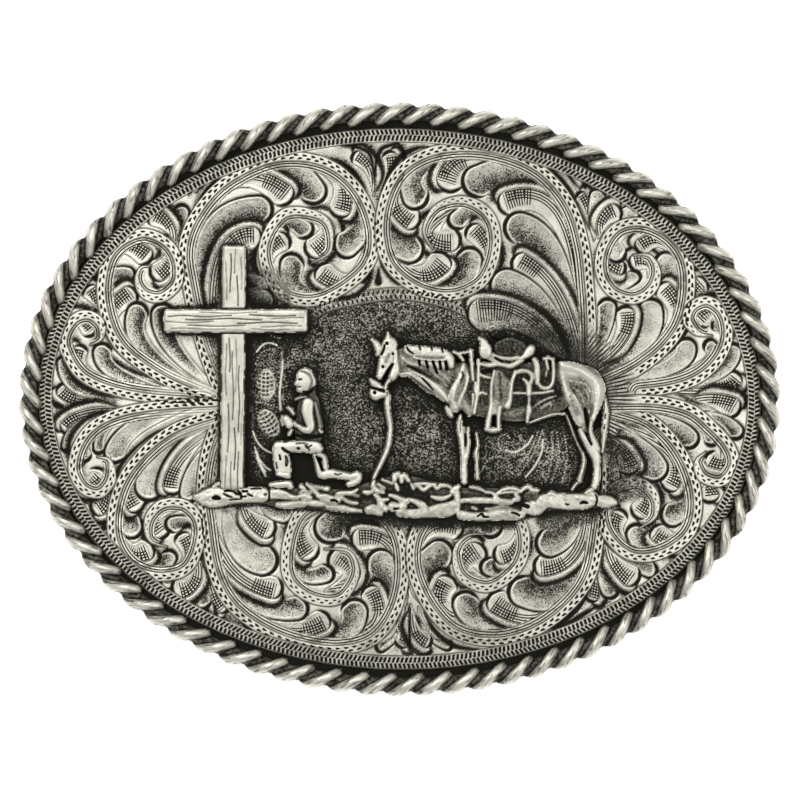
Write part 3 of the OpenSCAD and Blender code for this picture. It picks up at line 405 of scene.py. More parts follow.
    (2.05, 0.1, (546, 359, 1.1), (547, 364, 1.4), (548, 369, 1.1)),
    (1.9, 0.35, (547, 371, 0.9), (546, 376, 0.7)),
    (1.85, 0.15, (512.6, 393, 0.8), (526, 393.2, 0.9)),
    (1.85, 0.12, (532, 393.2, 0.9), (543, 392.6, 1.0), (553, 390.8, 0.8)),
    # Flank and belly
    # Painted highlight low on the barrel, over the one in the body
    (0, 0.45, (507, 415.4, 1.0), (514, 415, 1.6), (521, 413, 1.2)),
    (0, 0.6, (538, 409.6, 1.4), (546, 405.6, 2.2), (554, 401, 1.6)),
    (0, 0.35, (533, 408, 0.7), (537, 404.5, 1.0), (543, 400.6, 1.1), (549, 398, 1.0), (556, 396, 0.6)),
    (0, 0.3, (541, 408.4, 0.8), (546, 405, 1.1), (550, 403, 1.0), (551, 406.4, 0.7)),
    (1.4, 0.14, (528, 423.4, 0.6), (540, 418.6, 0.8), (553, 414.4, 0.8), (565, 413.8, 0.6)),
    # Rump, hind legs and tail
    (0, 0.05, (560.6, 368, 1.0), (562.4, 378, 1.1), (565, 388, 1.1), (568, 400, 1.4), (571, 409, 1.8)),
    (0, 0.02, (571, 409, 1.8), (575, 417, 2.2), (579.6, 424.4, 3), (582.6, 428, 2.2)),
    (0, 0.38, (570.6, 396, 1.2), (573.6, 404, 2.2), (577.6, 414, 2.2)),
    (0, 0.04, (573.6, 395, 0.8), (578.4, 404, 1.1), (581.8, 413, 1.3), (583, 421, 1.8)),
    (0, 0.72, (575, 386, 1.4), (583, 391, 1.8), (588, 399, 1.4)),
    (0, 0.3, (568, 380, 0.8), (577, 381.6, 0.6), (586, 384.6, 0.8), (590.4, 392, 0.7)),
    (0, 0.3, (577, 390, 0.5), (582, 396, 0.6), (584, 403, 0.5)),
    (0, 0.85, (570, 383, 0.5), (572, 389, 0.6), (576, 394, 0.5)),
    (0, 0.3, (586, 390, 0.5), (588.6, 396, 0.6), (588, 404, 0.5)),
    (-0.6, 1.0, (585.4, 409, 1.3), (587, 418, 2), (588.4, 427, 1.8), (589.4, 433, 0.9)),
    (1.9, 0.06, (592, 418, 1.7), (590.8, 426, 1.4), (591, 433, 1.7), (594, 441, 2.5), (597.4, 449, 2.8)),
    (1.9, 0.05, (580.4, 430, 1.7), (583.6, 436, 2.9), (588.6, 444, 3.7), (593, 451, 4.2), (596.4, 457.6, 4),
     (597.1, 466, 2.9), (597, 474, 2.8), (596.4, 481, 3.2), (594.6, 486.6, 2.7)),
    (-0.4, 0.95, (585.4, 432.6, 0.6), (588.6, 439, 0.8), (591.6, 444.6, 0.7)),
    (1.7, 0.16, (592, 489.4, 1.9), (588.6, 491.4, 1.9), (586, 493.4, 1.5)),
    (1.0, 0.35, (566.6, 414.6, 0.5), (571, 426, 0.5), (575, 437, 0.5), (580, 448, 0.6), (583, 453, 0.8)),
    (1.2, 0.15, (583, 453, 0.9), (584.5, 460, 1.3), (583.4, 468, 1.7), (581, 476, 2.1), (580, 480.6, 2.3)),
    (1.0, 0.2, (577, 483.4, 1.0), (574, 487, 0.9), (572.4, 489.6, 0.9)),
    (1.4, 0.12, (604.6, 396, 0.8), (606, 404, 1.4), (606.6, 413, 2.5), (605.3, 424, 2.5), (604.6, 434, 2.3),
     (603.6, 444, 1.3), (602.7, 452, 0.8)),
    (-0.2, 0.75, (605.8, 414.4, 0.5), (605.2, 418.6, 0.6)),
    (-0.2, 0.75, (604.8, 425, 0.5), (604.4, 429, 0.6)),
    # Fore legs
    (1.65, 0.35, (463.6, 428, 1.6), (465, 446, 2.4)),
    (1.7, 0.05, (460.8, 415.6, 0.9), (459.8, 422, 2.3), (460, 429, 2.8), (461.6, 439, 2.3),
     (462.6, 448, 2.1),
     (464, 458, 2.5), (464.2, 468, 2.7), (464.2, 476, 2.8), (464.4, 481.6, 2.4)),
    (1.7, 0.08, (468.6, 428, 0.9), (468, 434, 1.2), (468.6, 442, 1.3), (467.8, 450, 1.5),
     (466.2, 458, 1.7)),
    (-0.4, 0.9, (465.3, 434, 0.6), (465.6, 440, 0.9), (465.5, 446, 0.6)),
    (-0.1, 0.48, (461, 420.6, 0.5), (460.6, 427, 0.8), (461, 433, 0.4)),
    (1.2, 0.15, (476.4, 433, 0.6), (477.6, 440, 0.9), (478, 445.6, 1.1), (476.8, 450, 1.6), (476, 455, 2.2),
     (477, 461, 1.3), (477.3, 469, 1.2), (477.4, 473.6, 1.8), (477.6, 477.8, 2)),
]

# Slabs, lumps and clefts of the strip of ground, in the same columns
GROUND_STROKES = [
    (0.75, 0.95, (202, 497, 5), (230, 496, 8), (262, 496, 7)),
    (0.75, 0.95, (262, 497, 6), (310, 499, 9), (352, 501, 10)),
    (0.75, 0.95, (352, 500, 10), (378, 496, 14), (404, 494, 17), (440, 499, 13)),
    (0.75, 0.95, (440, 502, 13), (490, 504, 14), (526, 503, 12)),
    (0.75, 0.95, (530, 502, 10), (570, 502, 7), (608, 501, 5)),
    (1.45, 0.14, (196.6, 497, 2.4), (203, 497.6, 6), (210, 497.6, 8.8), (218, 497, 8.8), (228, 496.4, 7.4),
     (240, 495.4, 6.6), (254, 494.8, 6.6), (262.6, 494.8, 6.4)),
    (1.2, 0.2, (214, 486.6, 0.8), (220, 483.4, 0.8)),
    (-0.55, 1.0, (213.6, 498, 1.3), (216.6, 497.6, 2.4), (219.6, 498.4, 1.4)),
    (-0.35, 0.95, (225, 491, 0.7), (229, 490.5, 0.9), (234, 491.4, 0.8), (237, 493.8, 1.0),
     (241, 494, 1.0)),
    (-0.3, 0.9, (224, 493.6, 0.5), (229, 496.2, 0.8), (232.4, 497.2, 0.4)),
    (-0.3, 0.9, (228.6, 487.4, 0.7), (231.4, 487.6, 0.7)),
    (-0.4, 1.0, (234.4, 486.8, 0.8), (235.2, 489.2, 0.9)),
    (-0.35, 0.95, (238, 490.4, 0.7), (240.6, 493.6, 0.9), (241.6, 498.4, 0.7)),
    (-0.3, 0.9, (243, 491.2, 0.9), (247.4, 491.2, 1.0)),
    (-0.3, 0.85, (248.4, 494.2, 0.9), (252.6, 496, 0.6)),
    (-0.3, 0.8, (242, 496.6, 0.7), (246.4, 496.4, 0.6)),
    (-0.25, 0.7, (230, 500, 0.5), (235, 499.2, 0.6), (241, 499.4, 0.4)),
    (-0.3, 0.9, (251.6, 488.8, 0.4), (257, 488.2, 0.9), (261.4, 488.6, 0.5)),
    (-0.4, 1.0, (265, 494.6, 0.5), (268.6, 494, 1.3)),
    (1.35, 0.16, (271.4, 493.8, 4.2), (279, 494, 3.9), (286, 495.2, 3.2), (292.6, 496.8, 1.9),
     (298, 497.2, 1.2)),
    (-0.4, 1.0, (269.6, 488, 0.5), (269.6, 500, 0.6)),
    (1.3, 0.2, (278, 504.4, 1.7), (286, 504.7, 2.7), (296, 504.1, 2.9), (304.4, 503.4, 2.9)),
    (1.3, 0.2, (310.4, 503, 2.2), (317, 503.4, 2.5), (325, 504.2, 1.5)),
    (1.3, 0.12, (298, 496.2, 1.0), (303, 496.2, 2.3), (307.6, 496.8, 2.5), (311, 497.4, 1.0)),
    (1.3, 0.12, (301.6, 486.4, 1.9), (304.4, 488.4, 1.2)),
    (1.25, 0.18, (307, 484, 0.7), (311, 487.2, 1.3), (315, 491.4, 1.7), (319.4, 494.4, 1.0)),
    (1.2, 0.35, (311, 485.4, 0.8), (318, 487.6, 1.3), (323.4, 488, 0.7)),
    (1.25, 0.1, (325, 488.8, 1.3), (327.6, 488.6, 1.9)),
    (1.2, 0.35, (300, 492.4, 0.9), (306, 491.2, 1.3), (310.4, 493.4, 0.8)),
    (1.3, 0.12, (318.6, 495.6, 1.6), (325.4, 497.6, 3.2), (332, 499.4, 3.6), (338.6, 500, 2.2)),
    (1.3, 0.18, (328.4, 507, 2.1), (336, 507.6, 2.6), (345, 508.6, 2.5), (352, 510, 1.9),
     (361, 510.6, 1.1)),
    (-0.35, 1.0, (331.6, 500.4, 0.8), (334.6, 500, 1.1), (337.6, 501.6, 0.9)),
    (1.3, 0.1, (338.6, 494.4, 2.4), (344.6, 492.8, 1.7), (352, 492.7, 1.5), (357.6, 489.4, 0.8)),
    (1.2, 0.22, (342, 497.2, 1.1), (347, 500.6, 1.3), (352, 502.6, 1.3), (357.4, 503.2, 0.9)),
    (1.1, 0.35, (352.6, 494.4, 0.9), (358.4, 495.8, 0.9)),
    (1.3, 0.12, (364.5, 491.6, 1.3), (368, 492.6, 1.9), (371.6, 491.6, 1.2)),
    (1.3, 0.16, (374.4, 481, 1.0), (373.4, 486, 1.9), (376.6, 490, 2), (383.6, 492.2, 1.2)),
    (1.25, 0.25, (382.6, 479.8, 0.6), (388, 481.6, 1.0), (392.4, 483.4, 0.6)),
    (1.25, 0.3, (378.6, 484, 0.9), (384.4, 488, 1.2)),
    (1.4, 0.1, (375.4, 495, 1.0), (379.4, 499, 2.2), (381.6, 505, 2.9), (385.4, 508.6, 2.7)),
    (1.4, 0.12, (388, 499.2, 0.8), (383, 500.2, 1.5)),
    (1.4, 0.12, (390, 495, 0.9), (397, 497.2, 1.7), (403.6, 500.4, 2.5), (408, 501.6, 1.7)),
    (1.45, 0.12, (393, 506.4, 4.1), (399, 507, 3.4), (403.4, 505.6, 3.4)),
    (-0.3, 0.9, (394.4, 508.8, 1.0), (398.8, 508.6, 1.1)),
    (1.4, 0.1, (408.4, 499, 1.1), (416, 501.6, 2.1), (422, 505, 3.2), (425, 507, 2.4)),
    (1.4, 0.15, (368.6, 509.6, 3.3), (374, 509, 4), (380, 512.6, 2.4)),
    (1.45, 0.18, (400, 512.4, 3.2), (412, 513.2, 3.5), (424, 512.6, 4), (436, 511, 5.6), (448, 509.2, 6.4),
     (454.6, 506, 5.4)),
    (1.5, 0.07, (398.4, 474.2, 1.8), (395.4, 476, 2.2), (394.8, 480.2, 1.5)),
    (1.5, 0.07, (402, 481.4, 1.3), (401.8, 477, 1.8), (405.2, 475.8, 1.8), (408.6, 480.2, 1.5)),
    (1.3, 0.15, (396.4, 484, 0.9), (397.4, 487.4, 1.7), (398.2, 489.6, 1.1)),
    (1.3, 0.2, (411.6, 484.2, 0.8), (413.8, 488.2, 1.3)),
    (1.35, 0.08, (415.6, 484, 1.0), (419.6, 486.6, 1.3), (423.8, 489.6, 1.4), (428, 487, 1.3),
     (431.6, 484.4, 1.1),
     (424, 483.4, 0.9), (416.6, 483.8, 1.0)),
    (1.35, 0.08, (434.5, 484.6, 1.5), (437, 487.6, 1.7), (440.4, 485.6, 1.5), (446, 485.2, 1.3),
     (450.2, 486.8, 0.8)),
    (-0.15, 0.5, (437.2, 484.8, 0.6), (437.8, 485.8, 0.7)),
    (1.3, 0.14, (432, 496.6, 0.7), (438, 498, 1.7), (444, 498, 1.7), (450.4, 495.4, 0.9)),
    (1.5, 0.1, (452.8, 491.6, 2.4), (456, 489, 2.9), (458.6, 486.6, 1.5)),
    (1.5, 0.12, (456.8, 493, 2.7), (457.4, 500, 2.5), (455.8, 509, 3.4)),
    (-0.35, 0.85, (455.6, 516, 0.7), (460.6, 512.4, 0.8), (464, 511.6, 0.5)),
    (1.35, 0.14, (461, 501, 1.8), (467, 500, 1.8), (475, 500.2, 2.5), (484, 500.2, 2.3), (494, 500.6, 2.1),
     (503, 501.6, 2.6), (511, 502, 2)),
    (1.25, 0.18, (470.5, 487, 0.9), (478, 488.4, 1.1), (483.4, 490.4, 0.9)),
    (1.25, 0.18, (486, 492, 0.9), (492, 492.6, 1.0), (495.6, 496.4, 1.2)),
    (1.4, 0.06, (497.4, 493.4, 1.1), (504, 490.6, 2.4), (511, 489.8, 3), (518, 490.8, 2.2),
     (521.4, 491.6, 0.9)),
    (-0.12, 0.45, (502, 491.6, 0.5), (511, 490.4, 0.7), (518, 491.2, 0.4)),
    (1.35, 0.12, (496, 497.6, 2), (498.4, 499.4, 1.9)),
    (1.35, 0.12, (516, 494.6, 1.4), (518, 498.6, 2.4), (514, 500.4, 1.9)),
    (1.2, 0.7, (529, 496, 4), (536, 498, 4.4), (541, 498.6, 2.6)),
    (1.4, 0.12, (521.4, 490.6, 1.0), (525, 488, 1.5), (528.5, 486.8, 1.5), (532, 489.6, 1.7),
     (537.4, 490.6, 1.5)),
    (1.4, 0.18, (461, 514.6, 3.6), (472, 516.2, 3.3), (484, 516.2, 3.5), (496, 515, 4.3), (508, 514.4, 4.3),
     (518, 515.4, 3.2), (522.6, 513.4, 2.6)),
    (-0.35, 0.95, (478, 516.2, 0.6), (482, 513.6, 0.8), (484, 516.4, 0.9), (488.6, 517, 0.6)),
    (-0.3, 0.9, (512, 512.4, 0.6), (516.6, 513.6, 1.1), (519.6, 515.6, 0.7)),
    (1.25, 0.35, (472.6, 507.4, 0.9), (476.4, 508.8, 1.0)),
    (1.25, 0.4, (486, 508.8, 0.7), (493, 508.6, 1.0), (502, 507, 1.7), (512, 509.4, 1.2), (521, 512, 1.0)),
    (1.45, 0.14, (527.6, 507.6, 5), (535, 508, 6.4), (539.6, 506.4, 5.6), (545, 500.6, 6)),
    (-0.45, 0.9, (516, 503.6, 1.4), (522.6, 504.6, 2.2), (528, 506.6, 1.9)),
    (1.5, 0.12, (545, 500.2, 5.6), (556, 500.8, 6.8), (568, 501.6, 7.1), (580, 501.6, 7.1), (588, 501, 6.6),
     (593.4, 500, 4.8)),
    (1.5, 0.12, (549, 494.6, 1.7), (552, 493.6, 1.8), (555.6, 495.4, 1.6)),
    (-0.45, 1.0, (581, 503, 0.7), (584, 502.2, 1.3), (587.4, 503, 0.7)),
    (-0.25, 0.8, (566, 504, 0.6), (568.4, 504.8, 0.8)),
    (1.5, 0.14, (588, 494.8, 2.5), (592, 494.2, 3), (594.6, 496.4, 2.4)),
    (1.5, 0.12, (599.6, 501, 4.8), (605, 501.6, 5.4), (611, 502, 4.4), (615, 502.6, 2.1)),
    (-0.35, 0.9, (595.6, 494.4, 0.5), (597.4, 499, 0.7), (596, 505.4, 0.6)),
]

# Grain of the cross: lines along the upright and along the arm, as offsets from the bar's middle,
# with where each starts and ends and how dark it is
UPRIGHT_GRAIN = [
    (-7.4, 262, 300, 0.45), (-3.0, 254, 292, 0.85), (1.6, 250, 274, 0.5), (3.8, 276, 306, 0.85),
    (7.6, 258, 290, 0.45), (-7.6, 344, 396, 0.5), (-4.0, 338, 372, 0.9), (-0.8, 352, 420, 0.7),
    (2.6, 340, 392, 0.45), (5.4, 366, 432, 0.8), (8.2, 392, 446, 0.4), (-5.4, 404, 452, 0.75),
    (1.2, 428, 470, 0.9), (-8.0, 456, 488, 0.45), (-2.4, 462, 489, 0.6), (4.6, 452, 488, 0.7),
]
ARM_GRAIN = [
    (-8.0, 200, 258, 0.45), (-4.6, 168, 232, 0.7), (-5.4, 250, 296, 0.85), (-1.6, 186, 262, 0.9),
    (-2.4, 272, 304, 0.5), (1.4, 166, 214, 0.5), (2.0, 238, 298, 0.9), (4.8, 188, 246, 0.7),
    (5.6, 262, 302, 0.5), (8.2, 172, 226, 0.45), (8.6, 252, 290, 0.5),
]
CROSS_HALF = 11.8
CROSS_LEAN = 0.009
CROSS_ROUND = 3.5
CROSS_X = 234
CROSS_TOP = 245
CROSS_FOOT = 489
ARM_Y = 321
ARM_LEFT = 164
ARM_RIGHT = 308

# Black cuts between the leaves and the border: points with a half width each
GOUGES = [
    [(375, 184, 0.6), (373, 165, 1.2), (369, 153, 1.6), (357, 147, 1.6), (342, 145, 1.2)],
    [(375, 176, 0.8), (377, 160, 1.6), (382, 149, 1.8), (392, 145, 1.5), (399, 144, 1.0)],
    [(381, 192, 0.6), (390, 172, 1.5), (402, 156, 2.8), (418, 148, 1.5), (430, 147, 0.6)],
    [(340, 161, 1.0), (352, 170, 2.0), (362, 183, 1.5), (368, 196, 0.6)],
    [(379, 268, 0.4), (378.5, 276, 2.0), (378.5, 282, 3.6)],
    [(424, 612, 0.6), (436, 632, 2.2), (455, 646, 2.2), (482, 650, 0.8)],
    [(394, 612, 0.6), (386, 632, 2.0), (370, 646, 2.0), (350, 650, 0.8)], [(409.5, 606, 0.6),
     (410, 650, 1.4)],
    [(379, 255, 0.5), (384, 266, 2.6), (392, 277, 3.0), (399, 284, 1.5)],
    [(373, 262, 0.5), (370, 272, 2.4), (364, 281, 3.0)],
    [(197, 193, 0.5), (207, 181, 1.5), (222, 170, 1.8), (247, 160, 0.5)],
    [(191, 220, 0.5), (201, 199, 2.0), (219, 180, 2.5), (241, 167, 1.0)],
    [(536, 159, 1.4), (552, 164, 1.5), (566, 173, 1.3), (579, 188, 0.5)],
    [(537, 163, 0.6), (552, 172, 2.8), (566, 186, 2.6), (578, 206, 1.2), (590, 230, 0.5)],
    [(226, 618, 0.6), (240, 630, 1.6), (256, 637, 2.0), (272, 642, 1.0)],
    [(226, 598, 1.2), (242, 621, 2.4), (260, 635, 2.0), (273, 641, 0.8)],
    [(597, 606, 0.5), (586, 613, 1.8), (572, 621, 2.0), (556, 628, 1.0)],
    [(590, 590, 0.6), (580, 606, 2.0), (568, 618, 2.2), (558, 626, 1.0)],
    [(584, 181, 2.6), (586, 189, 0.6)], [(56, 405, 2.4), (64, 406, 0.5)], [(215, 606, 0.5),
     (216, 615, 2.6)],
    [(104, 521, 0.6), (104, 528, 2.6)], [(192, 190, 2.0), (189, 195, 0.5)], [(98, 272, 0.5),
     (96, 279, 2.6)],
]

# The dark panel behind the group, and the milled arch over it
PANEL = [
    (246, 492), (246, 333), (290, 333), (296, 330), (322, 308), (360, 298), (400, 294), (440, 300),
     (474, 308),
    (505, 314), (540, 330), (575, 350), (603, 380), (608, 430), (604, 492),
]
ARCH = [(282, 352), (296, 330), (322, 308), (360, 298), (400, 294), (440, 300), (474, 314), (500, 334)]

# Light curves on the dark ground, under the horse and beside the cross: dotted with 1, whole with 0
CURLS = [
    (0, (543, 440), (542, 452), (535, 466), (526, 477)),
    (0, (533, 436), (527, 445), (516, 452), (506, 450)),
    (1, (506, 452), (500, 447), (499, 439), (504, 434), (510, 438)),
    (1, (481, 472), (487, 462), (497, 457), (507, 460), (512, 468)),
    (1, (543, 430), (538, 444), (531, 458), (518, 476)),
    (1, (538, 432), (533, 446), (526, 458), (512, 474)),
    (1, (552, 432), (553, 450), (550, 468), (546, 482)),
    (1, (557, 432), (559, 450), (557, 466), (552, 482)),
    (1, (565, 436), (567, 452), (566, 468), (562, 482)),
    (0, (257, 352), (263, 345), (270, 343), (278, 346), (282, 354), (283, 366), (281, 382), (280, 396),
     (281, 410)),
    (1, (256, 364), (260, 355), (267, 350), (274, 350), (278, 356)),
    (1, (268, 330), (273, 336), (281, 338), (288, 335)),
    (0, (253, 431), (257, 441), (264, 449), (272, 453)),
    (0, (255, 447), (259, 458), (266, 467), (271, 470)), (0, (256, 452), (260, 463), (266, 472)),
    (0, (257, 458), (262, 469), (266, 476)), (1, (256, 402), (264, 403), (272, 406), (280, 408)),
]

# Crossed light lines on the dark ground, in an oval field: its centre, half width, half height and lean
HATCHED = [(266, 384.5, 9, 14.5, 0.0), (268.5, 423.5, 9.5, 14, 0.5)]
HATCH_PITCH = 4.2

# Places that are darker than their pattern alone: a field, its value there and the outline
PATCHES = [
    # The shade patch is painted shadow between the rider's legs
    ("shade", 1.0, [(288, 456), (320, 456), (318, 488), (289, 488)]),
    ("grain", 0.55, [(530, 498), (608, 498), (602, 520), (562, 536), (538, 530)]),
    ("grain", 0.6, [(606, 436), (640, 452), (652, 498), (606, 506)]),
    ("grain", 0.6, [(330, 498), (520, 498), (515, 530), (400, 530), (340, 516)]),
    ("grain", 0.3, [(456, 286), (530, 290), (560, 345), (470, 338)]),
    ("grain", 0.35, [(290, 612), (400, 622), (520, 612), (520, 640), (400, 656), (290, 640)]),
]

# Places whose stipple is lighter: centre, reach and the share that goes
LIGHTER = [(182, 438, 85, 0.55), (248, 528, 50, 0.5), (625, 225, 90, 0.4), (650, 350, 75, 0.45)]

# Upright and arm as left, top, right and bottom
CROSS_BARS = [
    (CROSS_X - CROSS_HALF, CROSS_TOP, CROSS_X + CROSS_HALF, CROSS_FOOT),
    (ARM_LEFT, ARM_Y - CROSS_HALF, ARM_RIGHT, ARM_Y + CROSS_HALF),
]

# Measures of the engraving: in squares of the chart, and heights in millimetres
STEM_HALF = 4.6
LEAF_ROOT = 0.12
LEAF_SWELL = 0.8
LEAF_FULL = 1.3
LEAF_FLANGE = 8.0
DASH_PITCH = 8.6
LINE_PITCH = 2.75
PATH_STEPS = 16
CURL_PITCH = 3.0
MARK_REACH = 2.0
LEAF_GROOVE = 0.2
LEAF_HOLLOW = 0.14
LEAF_STEP = 0.1
STROKE_SPREAD = 0.9
RIM_BRIGHT = 0.5
STROKE_DOME = 0.15
BODY_RIM = 14
GRAIN_HALF = 0.35
FLANK = 0.8
FAR = 1e3
BORDER_HEIGHT = 0.8 * RELIEF / MM
# Shadows round the group: their reach in samples of the sheet, and how dark they are
SHADOWS = ((5, 1.3), (17, 1.2), (36, 0.7))
# The dark place right of the cross, as left, top, right and bottom
BESIDE_CROSS = (243, 266, 294, 492)
# Where the stems spring at the cross, and the middle of the shade behind the rump
SPRING_X = 200
SPRING_Y = 402
RUMP_X = 546
RUMP_Y = 394
# The fan of rays behind the rump: its middle, the point that they aim at, where it has faded and where it
# is whole, and the radius at which the rays are a line's pitch apart
FAN_X = 560
FAN_Y = 398
FAN_EYE_X = 552
FAN_END = 86
FAN_WHOLE = 62
FAN_RADIUS = 52
# The share of the rope that its lobes take, from the outer side over the top to the inner foot
ROPE_LOBE = ((-90, 0, 90, 122, 142, 158, 170), (0.59, 0.66, 0.64, 0.58, 0.52, 0.4, 0.03))
# How wide the dark crescent is round a leaf: from its root, at -1, along the outer side to the head, at 0,
# and round the head to its inner corner, at 1
SHADED_CRESCENT = ((-0.7, -0.25, 0.0, 0.45, 0.8, 1.02), (0.5, 1.3, 2.2, 3.8, 3.6, 0.5))
LINED_CRESCENT = ((-0.8, 0.1, 0.45, 0.75, 0.95), (0.6, 0.7, 3.3, 3.1, 0.5))
# What the face's material reads from its mesh
FACE_FIELDS = ("ink", "grain", "mark", "line", "line_on", "cross", "cross_on", "panel", "shade")
# How wide the dark edge of a lined leaf's flange is, from its root to its head
FLANGE_EDGE = ((0.0, 0.3, 0.7, 1.0), (0.9, 1.7, 3.0, 2.8))


def turned(x, y):
    """A place on the chart as squares across and down from the oval's middle, along its own axes."""
    x, y = x - MID_X, y - MID_Y
    return x * math.cos(TURN) + y * math.sin(TURN), y * math.cos(TURN) - x * math.sin(TURN)


def on_chart(u, v):
    """The place on the chart of a point that is some squares across and down from the oval's middle."""
    x = MID_X + u * math.cos(TURN) - v * math.sin(TURN)
    return x, MID_Y + v * math.cos(TURN) + u * math.sin(TURN)


def bent_height(x, rise):
    """Height in metres of a point that is some way over the bent face."""
    return FACE_TOP - BEND_RADIUS + np.sqrt((BEND_RADIUS + rise) ** 2 - x**2)


def smooth(low, high, value):
    """Goes smoothly from 0 to 1 as value goes from low to high."""
    share = np.clip((value - low) / (high - low), 0, 1)
    return share * share * (3 - 2 * share)


def quadratic(start, middle, end):
    """Points of the curve through three points."""
    t = np.linspace(0, 1, PATH_STEPS + 1)[:, None]
    start, middle, end = (np.array(p, float) for p in (start, middle, end))
    return start * (1 - t) * (1 - 2 * t) + middle * 4 * t * (1 - t) + end * t * (2 * t - 1)


def through(points, steps=6):
    """Points of the smooth curve through any number of points."""
    p = np.array([points[0], *points, points[-1]], float)
    t = (np.arange(steps) / steps)[:, None]
    spans = []
    for a, b, c, d in zip(p, p[1:], p[2:], p[3:]):
        cubic = (2 * a - 5 * b + 4 * c - d) * t**2 + (3 * b - a - 3 * c + d) * t**3
        spans.append(b + 0.5 * ((c - a) * t + cubic))
    return np.vstack([*spans, p[-1:]])


def run_up(spans):
    """How far along each point of a path is, from the spans between its points."""
    return np.concatenate([[0], np.cumsum(spans)])


def way_round(a, b, count):
    """Turns round an oval, and how far along it each one is."""
    turns = np.linspace(0, math.tau, count + 1)
    return turns, run_up(np.hypot(np.diff(a * np.cos(turns)), np.diff(b * np.sin(turns))))


def box_blur(values, reach, passes=3):
    """Values smoothed over some samples each way."""
    for _ in range(passes):
        for axis in (0, 1):
            pads = [(reach + 1, reach) if a == axis else (0, 0) for a in (0, 1)]
            total = np.cumsum(np.pad(values, pads, "edge"), axis=axis, dtype=np.float64)
            size = values.shape[axis]
            ahead = np.take(total, np.arange(2 * reach + 1, 2 * reach + 1 + size), axis=axis)
            behind = np.take(total, np.arange(size), axis=axis)
            values = ((ahead - behind) / (2 * reach + 1)).astype(np.float32)
    return values


